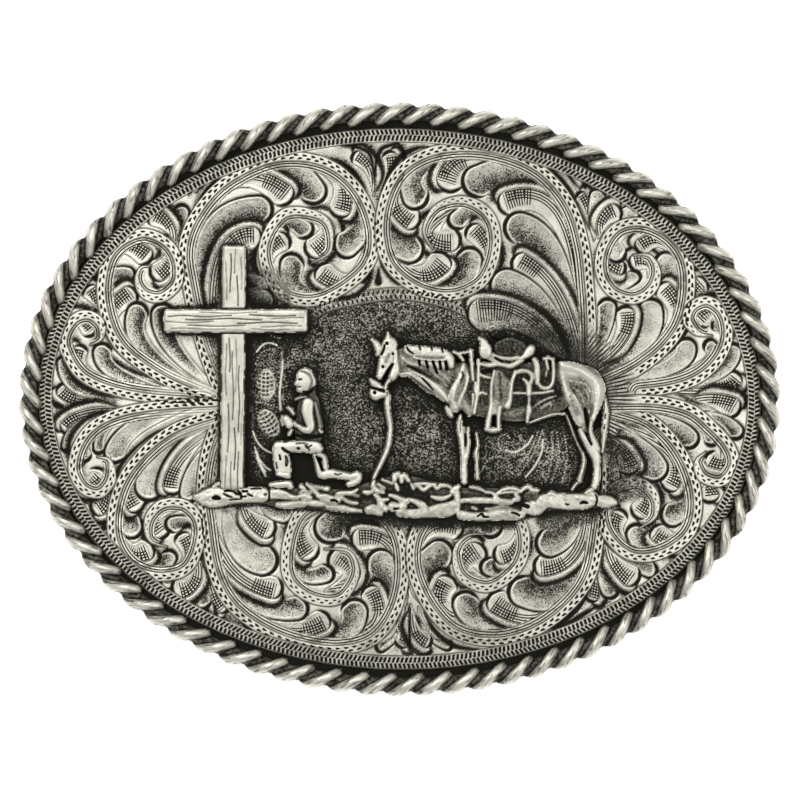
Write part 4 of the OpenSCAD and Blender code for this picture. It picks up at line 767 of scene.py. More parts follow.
class Sheet:
    """Heights in millimetres and marks over a part of the chart, with several samples to a square."""

    def __init__(self, left, top, right, bottom, fine, **fields):
        self.left, self.top, self.fine = left, top, fine
        self.across = int((right - left) * fine) + 1
        self.down = int((bottom - top) * fine) + 1
        self.fields = {name: np.full((self.down, self.across), v, np.float32) for name, v in fields.items()}

    def __getitem__(self, name):
        return self.fields[name]

    def __setitem__(self, name, values):
        self.fields[name] = values.astype(np.float32)

    def window(self, points=None, pad=0.0):
        """The part of the sheet round some points: its slices, and its samples' places on the chart."""
        i0, j0, i1, j1 = 0, 0, self.across, self.down
        if points is not None:
            low, high = np.min(points, axis=0) - pad, np.max(points, axis=0) + pad
            i0, i1 = (int(np.clip((v - self.left) * self.fine, 0, self.across)) for v in (low[0], high[0]))
            j0, j1 = (int(np.clip((v - self.top) * self.fine, 0, self.down)) for v in (low[1], high[1]))
        x = (self.left + np.arange(i0, i1) / self.fine)[None, :]
        y = (self.top + np.arange(j0, j1) / self.fine)[:, None]
        return (slice(j0, j1), slice(i0, i1)), x, y

    def trace(self, path, pad):
        """The part of the sheet round a path, and there each sample's distance from it, how far along it
        and which side it is on, with the path's length. The side goes from 1 to -1 round the path's end."""
        path = np.array(path, float)
        whole = self.window(path, pad)[0]
        shape = tuple(part.stop - part.start for part in whole)
        best = np.full(shape, FAR, np.float32)
        run, side = np.zeros(shape, np.float32), np.ones(shape, np.float32)
        start = 0.0
        for (ax, ay), (bx, by) in zip(path, path[1:]):
            dx, dy = bx - ax, by - ay
            length = math.hypot(dx, dy)
            (rows, columns), x, y = self.window([(ax, ay), (bx, by)], pad)
            near = tuple(
                slice(p.start - w.start, p.stop - w.start) for p, w in zip((rows, columns), whole)
            )
            t = np.clip(((x - ax) * dx + (y - ay) * dy) / length**2, 0, 1)
            ex, ey = x - ax - t * dx, y - ay - t * dy
            d = np.hypot(ex, ey)
            nearer = d < best[near]
            best[near] = np.where(nearer, d, best[near])
            run[near] = np.where(nearer, start + t * length, run[near])
            side[near] = np.where(nearer, (dx * ey - dy * ex) / (length * np.maximum(d, 1e-3)), side[near])
            start += length
        return whole, best, run, side, start

    def within(self, points, pad):
        """Signed distance of each sample into a polygon: positive inside, and true up to the pad."""
        ring = [*points, points[0]]
        part, distance = self.trace(ring, pad)[:2]
        x, y = self.window(ring, pad)[1:]
        inside = np.zeros(distance.shape, bool)
        for (ax, ay), (bx, by) in zip(ring, ring[1:]):
            if ay != by:
                level = (y >= min(ay, by)) & (y < max(ay, by))
                inside ^= level & (x < ax + (y - ay) * (bx - ax) / (by - ay))
        return part, np.where(inside, distance, -distance)

    def at(self, name, x, y):
        """The field's values at any places on the chart."""
        field = self.fields[name]
        u = np.clip((x - self.left) * self.fine, 0, self.across - 1.001)
        v = np.clip((y - self.top) * self.fine, 0, self.down - 1.001)
        i, j = u.astype(int), v.astype(int)
        u, v = u - i, v - j
        upper = field[j, i] * (1 - u) + field[j, i + 1] * u
        lower = field[j + 1, i] * (1 - u) + field[j + 1, i + 1] * u
        return upper * (1 - v) + lower * v

    def stroke(self, points):
        """The part of the sheet round a stroke, given by points with a half width each, and there each
        sample's distance from the stroke's middle and the half width."""
        path = through(points)
        steps = np.hypot(*np.diff(path[:, :2], axis=0).T)
        part, d, run = self.trace(path[:, :2], path[:, 2].max() + 3)[:3]
        return part, d, np.interp(run, run_up(steps), path[:, 2])

    def ridge(self, top, tone, points, rim=2.6):
        """Raises a stroke with a rounded rim that is rubbed brighter, and widens the outline by it."""
        part, d, r = self.stroke(points)
        r = r + STROKE_SPREAD
        rim = np.minimum(r, rim)
        fall = np.clip((d - r + rim) / rim, 0, 1)
        drop = np.minimum(rim * SQUARE / MM, 0.6 * top)
        rise = top - drop * (1 - np.sqrt(1 - fall**2)) - STROKE_DOME * (d / r) ** 2
        higher = (d < r) & (rise > self["height"][part])
        tone = tone * (1 - RIM_BRIGHT * fall)
        self["height"][part] = np.where(higher, rise, self["height"][part])
        self["dark"][part] = np.where(higher, tone, self["dark"][part])
        self.at_least("reach", r - d, part)

    def cut(self, depth, tone, points):
        """Cuts a stroke into what is there."""
        part, d, r = self.stroke(points)
        share = smooth(r + 0.6, np.minimum(r - 0.4, 0.5 * r), d)
        self["height"][part] -= depth * share
        self["dark"][part] += (tone - self["dark"][part]) * share

    def at_least(self, name, values, part=...):
        """Raises a field to these values where it is below them."""
        self[name][part] = np.maximum(self[name][part], values)

    def slope(self, x, y):
        """How steeply the outline's reach rises across and down, at places on the chart."""
        across = self.at("reach", x + 0.5, y) - self.at("reach", x - 0.5, y)
        down = self.at("reach", x, y + 0.5) - self.at("reach", x, y - 0.5)
        return across.clip(-1, 1), down.clip(-1, 1)

    def mark(self, part, along, across, pitch, long, wide, slant):
        """Marks a row of slanted dashes, by their pitch, half length, half width and slant."""
        place = (along + slant * across) % pitch - pitch / 2
        near = np.minimum(long - np.abs(place), wide - np.abs(across))
        self.at_least("mark", np.clip(near, -MARK_REACH, MARK_REACH), part)

    def wipe(self, part, inside):
        """Clears the marks of what lies under something."""
        for name in ("ink", "grain", "line_on", "cross_on"):
            self[name][part] *= 1 - inside


def lay_leaf(sheet, leaf):
    """Engraves one leaf over what is there, with a dark crescent round its head. A shaded leaf has a
    stippled bowl. A lined one has fine lines along its outer side, crossed near its head, and outside
    them a plain flange whose edge is shaded."""
    root, middle, head, r, lined = leaf[0:2], leaf[2:4], leaf[4:6], leaf[6] * LEAF_FULL, leaf[7]
    way = np.subtract(head, middle) / math.dist(head, middle)
    path = quadratic(root, middle, head - way * (r - leaf[6]))
    part, d, run, side, length = sheet.trace(path, r + LEAF_FLANGE + 12)
    bend = (middle[0] - root[0]) * (head[1] - middle[1]) - (middle[1] - root[1]) * (head[0] - middle[0])
    outer = np.clip(-side * math.copysign(1, bend), -1, 1)
    share = run / length
    w = r * (LEAF_ROOT + (1 - LEAF_ROOT) * share**LEAF_SWELL)
    edge = w - d
    across = outer * d / np.maximum(w, 0.1)

    def lay(inside, **values):
        for name, value in values.items():
            sheet[name][part] += (value - sheet[name][part]) * inside

    if lined:
        flange = LEAF_FLANGE * smooth(0.05, 0.5, share) * smooth(0.1, 0.9, outer)
        rim = edge + flange
        out = np.maximum(-rim, 0)
        thrown = 0.95 * smooth(0.0, 0.25, share) * smooth(0.0, 0.5, outer) * np.exp(-out / 4.5)
        sheet.at_least("grain", thrown * (rim < 0.5), part)
        sheet["height"][part] -= LEAF_STEP * thrown
        thick = np.interp(share, *FLANGE_EDGE) * smooth(0.0, 0.5, outer)
        dim = smooth(0.1, 0.6, outer) * np.exp(-np.maximum(rim - thick, 0) / 2.4)
        core = smooth(thick + 0.6, thick - 0.6, rim)
        lay(
            smooth(-0.35, 0.35, rim),
            height=RELIEF / MM - LEAF_GROOVE * core - LEAF_STEP * dim,
            ink=0.93 * core,
            grain=0.85 * dim,
            panel=0.35 * sheet["panel"][part],
            line_on=0.0,
            cross_on=0.0,
        )
    sheet["mark"][part] = np.where(edge > 0, -MARK_REACH, sheet["mark"][part])
    over = run - length + r * (math.pi / 2 - np.arcsin(outer)) + 2 * (length - run) * (outer < 0)
    over = np.where(over < 0, over / length, over / (math.pi * r))
    groove = np.interp(over, *(LINED_CRESCENT if lined else SHADED_CRESCENT))
    ink = 0.97 * smooth(groove + 0.6, groove - 0.4, edge)
    inner = 0.5 + 0.5 * smooth(0.6, -0.6, across)
    bowl = smooth(0.1, 0.45, share) * smooth(groove + 0.6, groove + 3.6, edge) * inner
    from_rim = w * (1 - across) - groove
    ahead = run - length + d * np.sqrt(1 - outer**2)
    in_lines = (from_rim < 4 * LINE_PITCH) & (across > -0.5) & (edge > groove)
    in_cross = (edge > groove + 0.3) & (across > -0.45)
    lay(
        smooth(-0.35, 0.35, edge),
        height=RELIEF / MM - LEAF_GROOVE * ink - LEAF_HOLLOW * bowl * (1 - 0.5 * lined),
        ink=ink,
        grain=np.maximum((0.16 if lined else 0.72) * bowl, 0.5 * smooth(0.35, 0.0, share)),
        panel=0.35 * sheet["panel"][part],
        line=from_rim,
        line_on=lined * in_lines * smooth(0.03, 0.12, share) * (ahead < 0.1 * r),
        cross=ahead + length,
        cross_on=lined * in_cross * (ahead > -1.7 * r) * (ahead < 0.3 * r),
    )


def lay_stem(sheet, points):
    """Lays a stem's light band with its two rows of dashes, and fine lines along its inner side."""
    path = through(points)
    part, d, run, side, length = sheet.trace(path, STEM_HALF + 10)
    share = run / length
    taper = 1 - 0.8 * smooth(0.87, 1.0, share)
    half = STEM_HALF * taper
    steps = np.diff(path, axis=0)
    turn = (steps[:-1, 0] * steps[1:, 1] - steps[:-1, 1] * steps[1:, 0]).sum()
    reach = half + LINE_PITCH * (3.1 - 1.2 * smooth(0.3, 0.8, share))
    lines = (side * math.copysign(1, turn) > 0.3) & (d > half) & (d < reach) & (share < 0.98)
    for name, value in (("line", d - half - 0.4 * LINE_PITCH), ("line_on", 0.95), ("cross_on", 0.0)):
        sheet[name][part] = np.where(lines, value, sheet[name][part])
    for name in ("ink", "grain"):
        sheet[name][part] *= 1 - 0.8 * lines
    inside = smooth(half + 0.4, half - 0.4, d)
    sheet.wipe(part, inside)
    sheet["panel"][part] *= 1 - 0.6 * inside
    sheet["height"][part] += (RELIEF / MM - sheet["height"][part]) * inside
    flank = np.exp(-(((d - half - 0.2) / 0.75) ** 2))
    sheet.at_least("ink", 0.85 * flank, part)
    narrow = (1 - 0.3 * share) * taper
    for row in (-1, 1):
        across = side * d - row * 1.85 * narrow
        place = (run + (row + 1) * 2.15 + 0.7 * row * across) % DASH_PITCH - DASH_PITCH / 2
        near = np.minimum(2.7 * narrow - np.abs(place), (1.2 - 0.14 * place) * narrow - np.abs(across))
        sheet.at_least("mark", np.where(d < half, near, -MARK_REACH), part)


def oval_rings(sheet):
    """Each sample's distance in from the milled border's outer line, and how far round the oval it is."""
    x, y = sheet.window()[1:]
    u, v = turned(x, y)
    rho = np.hypot(u / BORDER_A, v / BORDER_B)
    slope = np.hypot(u / BORDER_A**2, v / BORDER_B**2) / np.maximum(rho, 1e-3)
    angle = np.arctan2(-v / BORDER_B, u / BORDER_A) % math.tau
    turns, way = way_round(BORDER_A, BORDER_B, 720)
    return (1 - rho) / slope, np.interp(angle, turns, way), way[-1]


def lay_border(sheet):
    """Mills two rows of slanted ticks round the face, between bright lines, with a dark channel outside."""
    ring, way, length = oval_rings(sheet)
    part = sheet.window()[0]
    inside = smooth(BORDER_WIDE + 0.6, BORDER_WIDE - 0.4, ring)
    sheet.wipe(part, inside)
    sheet["height"] += (BORDER_HEIGHT - sheet["height"]) * inside
    sheet.at_least("grain", 0.35 * inside)
    sheet["mark"] = np.where(ring < BORDER_WIDE, -MARK_REACH, sheet["mark"])
    pitch = length / BORDER_TICKS
    for centre, shift, slant, half in BORDER_ROWS:
        across = np.where(ring < BORDER_WIDE, ring - centre, FAR)
        sheet.mark(part, way + shift * pitch, across, pitch, 1.4, half, slant)
    channel = smooth(0.4, -1.2, ring)
    sheet.at_least("ink", 0.97 * channel)
    sheet.at_least("ink", 0.75 * np.exp(-(((ring - BORDER_WIDE - 0.4) / 0.7) ** 2)))
    sheet["height"] -= 0.25 * channel


def lay_panel(sheet, group):
    """Sinks the dark stippled panel, mills the arch over it, and lays shadows round the group."""
    part, edge = sheet.within(PANEL, 8)
    inside = smooth(-0.5, 1.5, edge)
    sheet.wipe(part, inside)
    sheet["height"][part] *= 1 - inside
    sheet["mark"][part] = np.where(inside > 0.5, -MARK_REACH, sheet["mark"][part])
    sheet.at_least("panel", inside, part)
    part, d, run, side, length = sheet.trace(through(ARCH), 10)
    share = run / length
    clear = smooth(0.08, 0.3, share) * smooth(1.0, 0.7, share)
    inside = smooth(6.6, 5.8, d)
    sheet.wipe(part, inside)
    sheet["panel"][part] *= 1 - 0.7 * inside * clear
    sheet["height"][part] += (BORDER_HEIGHT - sheet["height"][part]) * inside
    sheet.at_least("grain", 0.5 * inside, part)
    sheet.at_least("ink", 0.6 * clear * np.exp(-(((d - 6.4) / 0.8) ** 2)), part)
    for row, slant in ARCH_ROWS:
        across = np.where(d < 5.8, side * d - row, FAR)
        sheet.mark(part, run - row / 2, across, 4.9, 1.1, 2.1, slant)
    sheet["shade"] = np.clip(sum(dark * box_blur(group, reach) for reach, dark in SHADOWS), 0, 1)


def group_mask(sheet):
    """Where the raised group stands on the sheet."""
    mask = np.zeros((sheet.down, sheet.across), np.float32)
    for strokes in (RIDER_STROKES, HORSE_STROKES, GROUND_STROKES):
        for top, _, *points in strokes:
            part, d, r = sheet.stroke(points)
            mask[part] = np.maximum(mask[part], (d < r) & (top > 0))
    for left, top, right, bottom in CROSS_BARS:
        part = sheet.window([(left, top), (right, bottom)])[0]
        mask[part] = 1
    return mask


def lay_gouge(sheet, points):
    """Cuts a black stroke, with stipple beside it."""
    part, d, r = sheet.stroke(points)
    cut = smooth(r + 0.6, r - 0.4, d)
    sheet.at_least("ink", 0.95 * cut, part)
    sheet.at_least("grain", 0.5 * smooth(r + 5, r, d), part)
    sheet["height"][part] -= LEAF_GROOVE * cut


def lay_fan(sheet):
    """Draws rays from behind the rump over what has no lines yet, and fades the dashes there."""
    x, y = sheet.window()[1:]
    away = np.hypot(x - FAN_X, y - FAN_Y)
    fan = smooth(FAN_END, FAN_WHOLE, away) * (sheet["line_on"] < 0.1) * (sheet["panel"] < 0.9)
    sheet["line"] = np.where(fan > 0, FAN_RADIUS * np.arctan2(y - FAN_Y, x - FAN_EYE_X), sheet["line"])
    sheet.at_least("line_on", 0.95 * fan)
    sheet["mark"] = np.maximum(sheet["mark"] - 3 * smooth(FAN_END, 70, away), -MARK_REACH)


def lay_shade(sheet):
    """Darkens what is behind the rump and left of the cross, and the listed places, and lightens others."""
    x, y = sheet.window()[1:]
    by_rump = smooth(112, 56, np.hypot(x - RUMP_X, y - RUMP_Y))
    sheet.at_least("shade", 0.8 * by_rump * (sheet["panel"] < 0.9))
    from_cross = np.maximum(CROSS_X - CROSS_HALF - x, 0) + FAR * (x > CROSS_X)
    off = abs(y - SPRING_Y)
    sheet.at_least("grain", 0.3 * (smooth(15, 30, off) * smooth(88, 70, off) * smooth(26, 2, from_cross)))
    for middle_x, middle_y, reach, share in LIGHTER:
        sheet["grain"] *= 1 - share * smooth(reach, 0.5 * reach, np.hypot(x - middle_x, y - middle_y))
    sheet["line_on"] *= 1 - 0.6 * smooth(75, 25, np.hypot(x - SPRING_X, y - SPRING_Y))
    for name, value, points in PATCHES:
        part, edge = sheet.within(points, 8)
        sheet.at_least(name, value * smooth(-5, 5, edge), part)


def lighten(sheet, part, light):
    """Takes the dark away along light lines."""
    sheet["panel"][part] *= 1 - light
    sheet["shade"][part] *= 1 - 0.7 * light


def lay_curl(sheet, dotted, *points):
    """Draws one light curve on the dark ground."""
    part, d, run = sheet.trace(through(points), 3)[:3]
    gap = dotted * (run % CURL_PITCH > 0.5 * CURL_PITCH)
    lighten(sheet, part, (0.8 - 0.25 * dotted) * smooth(1.3, 0.3, d) * (1 - gap))


def lay_hatched(sheet, middle_x, middle_y, half_wide, half_high, lean):
    """Hatches an oval field with light lines both ways, inside a light rim at its right."""
    reach = 1.2 * half_high
    box = (middle_x - reach, middle_y - reach), (middle_x + reach, middle_y + reach)
    part, x, y = sheet.window(box)
    u = (x - middle_x) * math.cos(lean) - (y - middle_y) * math.sin(lean)
    v = (x - middle_x) * math.sin(lean) + (y - middle_y) * math.cos(lean)
    rho = np.hypot(u / half_wide, v / half_high)
    bent, straight = (np.cos(math.tau * way / HATCH_PITCH) for way in (v + 0.03 * u**2, u))
    lines = smooth(0.35, 1.0, np.maximum(bent, straight - 0.2))
    rim = np.exp(-(((rho - 1) * half_wide / 0.9) ** 2)) * smooth(-1.0, 0.6, u / half_wide)
    lighten(sheet, part, np.maximum(0.75 * smooth(1.0, 0.9, rho) * lines, 0.6 * rim))


def engraved_sheet(settings):
    """The whole face on the chart."""
    sheet = Sheet(
        MID_X - SHEET_A - 6, MID_Y - SHEET_B - 8, MID_X + SHEET_A + 6, MID_Y + SHEET_B + 8, 2,
        height=RELIEF / MM, **dict.fromkeys(FACE_FIELDS, 0),
    )
    sheet["mark"] -= MARK_REACH
    lay_panel(sheet, group_mask(sheet))
    x, y = sheet.window()[1:]
    left, top, right, bottom = BESIDE_CROSS
    by_cross = smooth(-4, 6, np.minimum(np.minimum(x - left, right - x), np.minimum(y - top, bottom - y)))
    sheet.at_least("panel", 0.95 * by_cross)
    for leaf in LEAVES:
        lay_leaf(sheet, leaf)
    for points in GOUGES:
        lay_gouge(sheet, points)
    for points in SCROLLS:
        lay_stem(sheet, points)
    lay_fan(sheet)
    sheet.at_least("panel", 0.76 * by_cross)
    lay_shade(sheet)
    for curl in CURLS:
        lay_curl(sheet, *curl)
    for oval in HATCHED:
        lay_hatched(sheet, *oval)
    lay_border(sheet)
    sheet["height"] = box_blur(sheet["height"], 1, 1) * (settings.relief / RELIEF)
    return sheet


def pick_only(piece):
    """Makes a piece the only one picked, and the active one."""
    bpy.ops.object.select_all(action="DESELECT")
    piece.select_set(True)
    bpy.context.view_layer.objects.active = piece


def places(mesh):
    """The vertices' places as rows of three."""
    flat = np.empty(3 * len(mesh.vertices), np.float32)
    mesh.vertices.foreach_get("co", flat)
    return flat.reshape(-1, 3)


def set_places(mesh, rows):
    """Puts the vertices at these places."""
    mesh.vertices.foreach_set("co", rows.astype(np.float32).ravel())
    mesh.update()


def set_attribute(mesh, name, values):
    """Gives every vertex a number under this name, for the material to read."""
    layer = mesh.attributes.new(name, "FLOAT", "POINT")
    layer.data.foreach_set("value", values.astype(np.float32).ravel())


def delete_marked(piece, doomed):
    """Deletes the vertices that are marked."""
    pick_only(piece)
    bpy.ops.object.mode_set(mode="EDIT")
    bpy.ops.mesh.select_mode(type="VERT")
    bpy.ops.mesh.select_all(action="DESELECT")
    bpy.ops.object.mode_set(mode="OBJECT")
    piece.data.vertices.foreach_set("select", doomed)
    bpy.ops.object.mode_set(mode="EDIT")
    bpy.ops.mesh.delete(type="VERT")
    bpy.ops.object.mode_set(mode="OBJECT")


def even_border(mesh):
    """Evens out the steps along a mesh's open border."""
    ends = np.empty(2 * len(mesh.edges), np.int32)
    mesh.edges.foreach_get("vertices", ends)
    used = np.empty(len(mesh.loops), np.int32)
    mesh.loops.foreach_get("edge_index", used)
    border = ends.reshape(-1, 2)[np.bincount(used, minlength=len(mesh.edges)) == 1]
    rows = places(mesh).astype(float)
    for _ in range(4):
        total, count = np.zeros_like(rows), np.zeros(len(rows))
        for one, other in (border.T, border.T[::-1]):
            np.add.at(total, one, rows[other])
            np.add.at(count, one, 1)
        on = count > 0
        rows[on] = 0.5 * rows[on] + 0.5 * total[on] / count[on, None]
    set_places(mesh, rows)


def face_outwards(piece):
    """Turns the faces of a closed mesh in edit mode outwards, all of them picked."""
    bpy.ops.mesh.normals_make_consistent(inside=False)
    if bmesh.from_edit_mesh(piece.data).calc_volume(signed=True) < 0:
        bpy.ops.mesh.flip_normals()


def close_down(piece, rise):
    """Draws a relief's open border down to a height over the bent face, and closes it below. Tells which
    vertices are the lower ones."""
    pick_only(piece)
    bpy.ops.object.mode_set(mode="EDIT")
    bpy.ops.mesh.select_mode(type="EDGE")
    bpy.ops.mesh.select_all(action="SELECT")
    bpy.ops.mesh.region_to_loop()
    bpy.ops.mesh.extrude_edges_move()
    bpy.ops.object.mode_set(mode="OBJECT")
    low = np.empty(len(piece.data.vertices), bool)
    piece.data.vertices.foreach_get("select", low)
    rows = places(piece.data)
    rows[low, 2] = bent_height(rows[low, 0], rise)
    set_places(piece.data, rows)
    bpy.ops.object.mode_set(mode="EDIT")
    bpy.ops.mesh.edge_face_add()
    bpy.ops.mesh.select_all(action="SELECT")
    face_outwards(piece)
    bpy.ops.object.mode_set(mode="OBJECT")
    return low


def add_grid(name, left, top, right, bottom, step):
    """Adds a grid over a part of the oval's own squares, and gives each vertex's place in squares."""
    across, down = round((right - left) / step), round((bottom - top) / step)
    bpy.ops.object.select_all(action="DESELECT")
    bpy.ops.mesh.primitive_grid_add(x_subdivisions=across, y_subdivisions=down, size=1)
    piece = bpy.context.object
    piece.name = piece.data.name = name
    rows = places(piece.data)
    u = left + (rows[:, 0] + 0.5) * (right - left)
    v = bottom - (rows[:, 1] + 0.5) * (bottom - top)
    return piece, u, v


def put_on_face(piece, u, v, rise):
    """Puts the vertices at squares across and down, and at a rise in millimetres over the bent face."""
    x = u * SQUARE
    set_places(piece.data, np.column_stack([x, -v * SQUARE, bent_height(x, rise * MM)]))


def finish_piece(piece, material, slot, *nodes):
    """Gives a piece its material and its place in the frame."""
    piece.data.materials.clear()
    piece.data.materials.append(material)
    pick_only(piece)
    bpy.ops.object.shade_smooth_by_angle(angle=math.radians(80))
    if nodes:
        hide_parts(*nodes)
    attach(piece, "root")


def build_face_part(name, sheet, material, corner, step):
    """One closed quarter of the engraved face, out to a corner of its sheet."""
    (left, right), (top, bottom) = (sorted((0, end)) for end in corner)
    piece, u, v = add_grid(name, left, top, right, bottom, step)
    set_places(piece.data, np.column_stack([u, v, 0 * u]))
    delete_marked(piece, np.hypot(u / SHEET_A, v / SHEET_B) > 1)
    u, v = places(piece.data)[:, :2].T.astype(float)
    seen = 1 + (FACE_TOP - bent_height(u * SQUARE, 0)) / CAMERA_OVER
    x, y = on_chart(u / seen, v / seen)
    for field in FACE_FIELDS:
        set_attribute(piece.data, field, sheet.at(field, x, y))
    put_on_face(piece, u, v, sheet.at("height", x, y))
    close_down(piece, FACE_FLOOR)
    finish_piece(piece, material, "aged_silver", "plate")


def build_face_back(material):
    """The plain plate under the engraving, with its smooth back."""
    bpy.ops.object.select_all(action="DESELECT")
    bpy.ops.mesh.primitive_grid_add(x_subdivisions=72, y_subdivisions=56, size=2)
    piece = bpy.context.object
    piece.name = piece.data.name = "face_back"
    x, y = places(piece.data)[:, :2].T.astype(float)
    across, along = x * np.sqrt(1 - y * y / 2), y * np.sqrt(1 - x * x / 2)
    x, y = across * PLATE_A, along * PLATE_B
    set_places(piece.data, np.column_stack([x, y, bent_height(x, PLATE_TOP)]))
    pick_only(piece)
    solid = piece.modifiers.new("thickness", "SOLIDIFY")
    solid.thickness = FACE_T + PLATE_TOP
    solid.offset = -1
    bpy.ops.object.modifier_apply(modifier=solid.name)
    rim = piece.modifiers.new("rim", "BEVEL")
    rim.width = 0.3 * MM
    rim.segments = 3
    rim.limit_method = "ANGLE"
    bpy.ops.object.modifier_apply(modifier=rim.name)
    finish_piece(piece, material, "aged_silver", "plate")


def rough(sheet, size, seed):
    """Smooth random ups and downs over a sheet, mostly within 1 either way, with spots of some squares."""
    values = np.random.default_rng(seed).standard_normal((sheet.down, sheet.across)).astype(np.float32)
    values = box_blur(values, max(int(size * sheet.fine / 2), 1), 2)
    return values / (2 * values.std())


def relief_sheet(strokes, fine, smoothing, base_count, widening=0.0):
    """A sheet with strokes raised on it and cut into it. The first ones are smoothed into one body."""
    strokes = [
        (top, tone, *((x, y, r + widening * (top > 0)) for x, y, r in path))
        for top, tone, *path in strokes
    ]
    points = np.array([point for row in strokes for point in row[2:]])
    wide = points[:, 2].max() + 4
    low, high = points[:, :2].min(axis=0) - wide, points[:, :2].max(axis=0) + wide
    sheet = Sheet(low[0], low[1], high[0], high[1], fine, height=0, reach=-FAR, dark=1)
    for top, tone, *path in strokes[:base_count]:
        sheet.ridge(top, tone, path, BODY_RIM)
    body = (sheet["reach"] > 0).astype(np.float32)
    mask = np.maximum(box_blur(body, smoothing), 0.2)
    for name in ("height", "dark"):
        sheet[name] = box_blur(sheet[name] * body, smoothing) / mask * body
    sheet["dark"] += 1 - body
    for top, tone, *path in strokes[base_count:]:
        if top > 0:
            sheet.ridge(top, tone, path)
        else:
            sheet.cut(-top, tone, path)
    return sheet


def add_wear(sheet, near, depth):
    """Darkens the hollows, and rubs what stands out brighter."""
    height = np.where(sheet["reach"] > 0, sheet["height"], 0.3)
    sunk = np.clip(box_blur(height, near) - height, -0.25, 0.6)
    sheet["dark"] = np.clip(sheet["dark"] + depth * sunk, 0, 1)


def build_relief(name, sheet, material, step, node):
    """A closed raised piece over its sheet's outline, with so many squares to a step of its grid, drawn down
    into the face."""
    right, bottom = sheet.left + sheet.across / sheet.fine, sheet.top + sheet.down / sheet.fine
    piece, x, y = add_grid(name, sheet.left + 1, sheet.top + 1, right - 1, bottom - 1, step)
    set_places(piece.data, np.column_stack([x, y, 0 * x]))
    raised = (sheet.at("reach", x, y) > 0).reshape(-1, np.argmax(y != y[0]))
    wide = np.pad(raised, 1)
    for over in (wide[:-2], wide[1:-1], wide[2:]):
        raised = raised | over[:, :-2] | over[:, 1:-1] | over[:, 2:]
    delete_marked(piece, ~raised.ravel())
    x, y = places(piece.data)[:, :2].T.astype(float)
    reach = sheet.at("reach", x, y)
    slope_x, slope_y = sheet.slope(x, y)
    steep = np.maximum(slope_x**2 + slope_y**2, 0.3)
    shift = np.minimum(reach, 0) / steep
    set_places(piece.data, np.column_stack([x - shift * slope_x, y - shift * slope_y, 0 * x]))
    even_border(piece.data)
    x, y = places(piece.data)[:, :2].T.astype(float)
    within_x, within_y = x + 0.4 * slope_x * (reach < 0), y + 0.4 * slope_y * (reach < 0)
    set_attribute(piece.data, "dark", sheet.at("dark", within_x, within_y))
    u, v = turned(x, y)
    put_on_face(piece, u, v, np.maximum(sheet.at("height", within_x, within_y), 0.15))
    low = close_down(piece, SEAT)
    rows = places(piece.data)
    x, y = on_chart(rows[low, 0] / SQUARE, -rows[low, 1] / SQUARE)
    slope_x, slope_y = sheet.slope(x, y)
    rows[low, 0] -= FLANK * SQUARE * slope_x
    rows[low, 1] += FLANK * SQUARE * slope_y
    set_places(piece.data, rows)
    tones = np.empty(len(rows), np.float32)
    dark = piece.data.attributes["dark"].data
    dark.foreach_get("value", tones)
    tones[low] = 1
    dark.foreach_set("value", tones)
    finish_piece(piece, material, "aged_silver", node)


def bar_height(edge, top):
    """Height of a squared bar with softened edges."""
    return np.where(edge > 0, top - 0.35 * np.exp(-np.maximum(edge, 0) / 1.1), 0)


def grain_wave(place, offset):
    """How far a line of the wood's grain swings out at a place along it."""
    return 0.7 * math.sin(place / (7 + offset % 5) + 3 * offset)


def cross_sheet():
    """The cross: an upright and, a little prouder over it, the arm, both with wavy grain."""
    sheet = Sheet(
        ARM_LEFT - 6, CROSS_TOP - 6, ARM_RIGHT + 6, CROSS_FOOT + 8, 2, height=0, reach=-FAR, dark=0.12
    )
    x, y = sheet.window()[1:]
    wave = 0.35 * np.sin(y / 7.0) + 0.25 * np.sin(x / 5.0 + 1)
    for (left, top, right, bottom), rise, lean in zip(CROSS_BARS, (1.75, 1.88), (CROSS_LEAN, 0)):
        along = x + lean * (y - ARM_Y)
        in_x, in_y = np.minimum(along - left, right - along), np.minimum(y - top, bottom - y)
        to_corner = np.hypot(np.maximum(CROSS_ROUND - in_x, 0), np.maximum(CROSS_ROUND - in_y, 0))
        edge = np.minimum(np.minimum(in_x, in_y), CROSS_ROUND - to_corner) + wave
        sheet["height"] = np.where(edge > 0, bar_height(edge, rise), sheet["height"])
        sheet.at_least("reach", edge)
    for offset, start, end, dark in UPRIGHT_GRAIN:
        steps = np.linspace(start, end, 2 + (end - start) // 6)
        sheet.cut(0.06, dark, [(CROSS_X + offset + grain_wave(t, offset), t, GRAIN_HALF) for t in steps])
    for offset, start, end, dark in ARM_GRAIN:
        steps = np.linspace(start, end, 2 + (end - start) // 6)
        sheet.cut(0.06, dark, [(t, ARM_Y + offset + grain_wave(t, offset), GRAIN_HALF) for t in steps])
    for side in (-1, 1):
        edge = ARM_Y + side * (CROSS_HALF + 0.5)
        sheet.cut(0.2, 0.9, [(CROSS_X - CROSS_HALF, edge, 0.5), (CROSS_X + CROSS_HALF, edge, 0.5)])
    return sheet


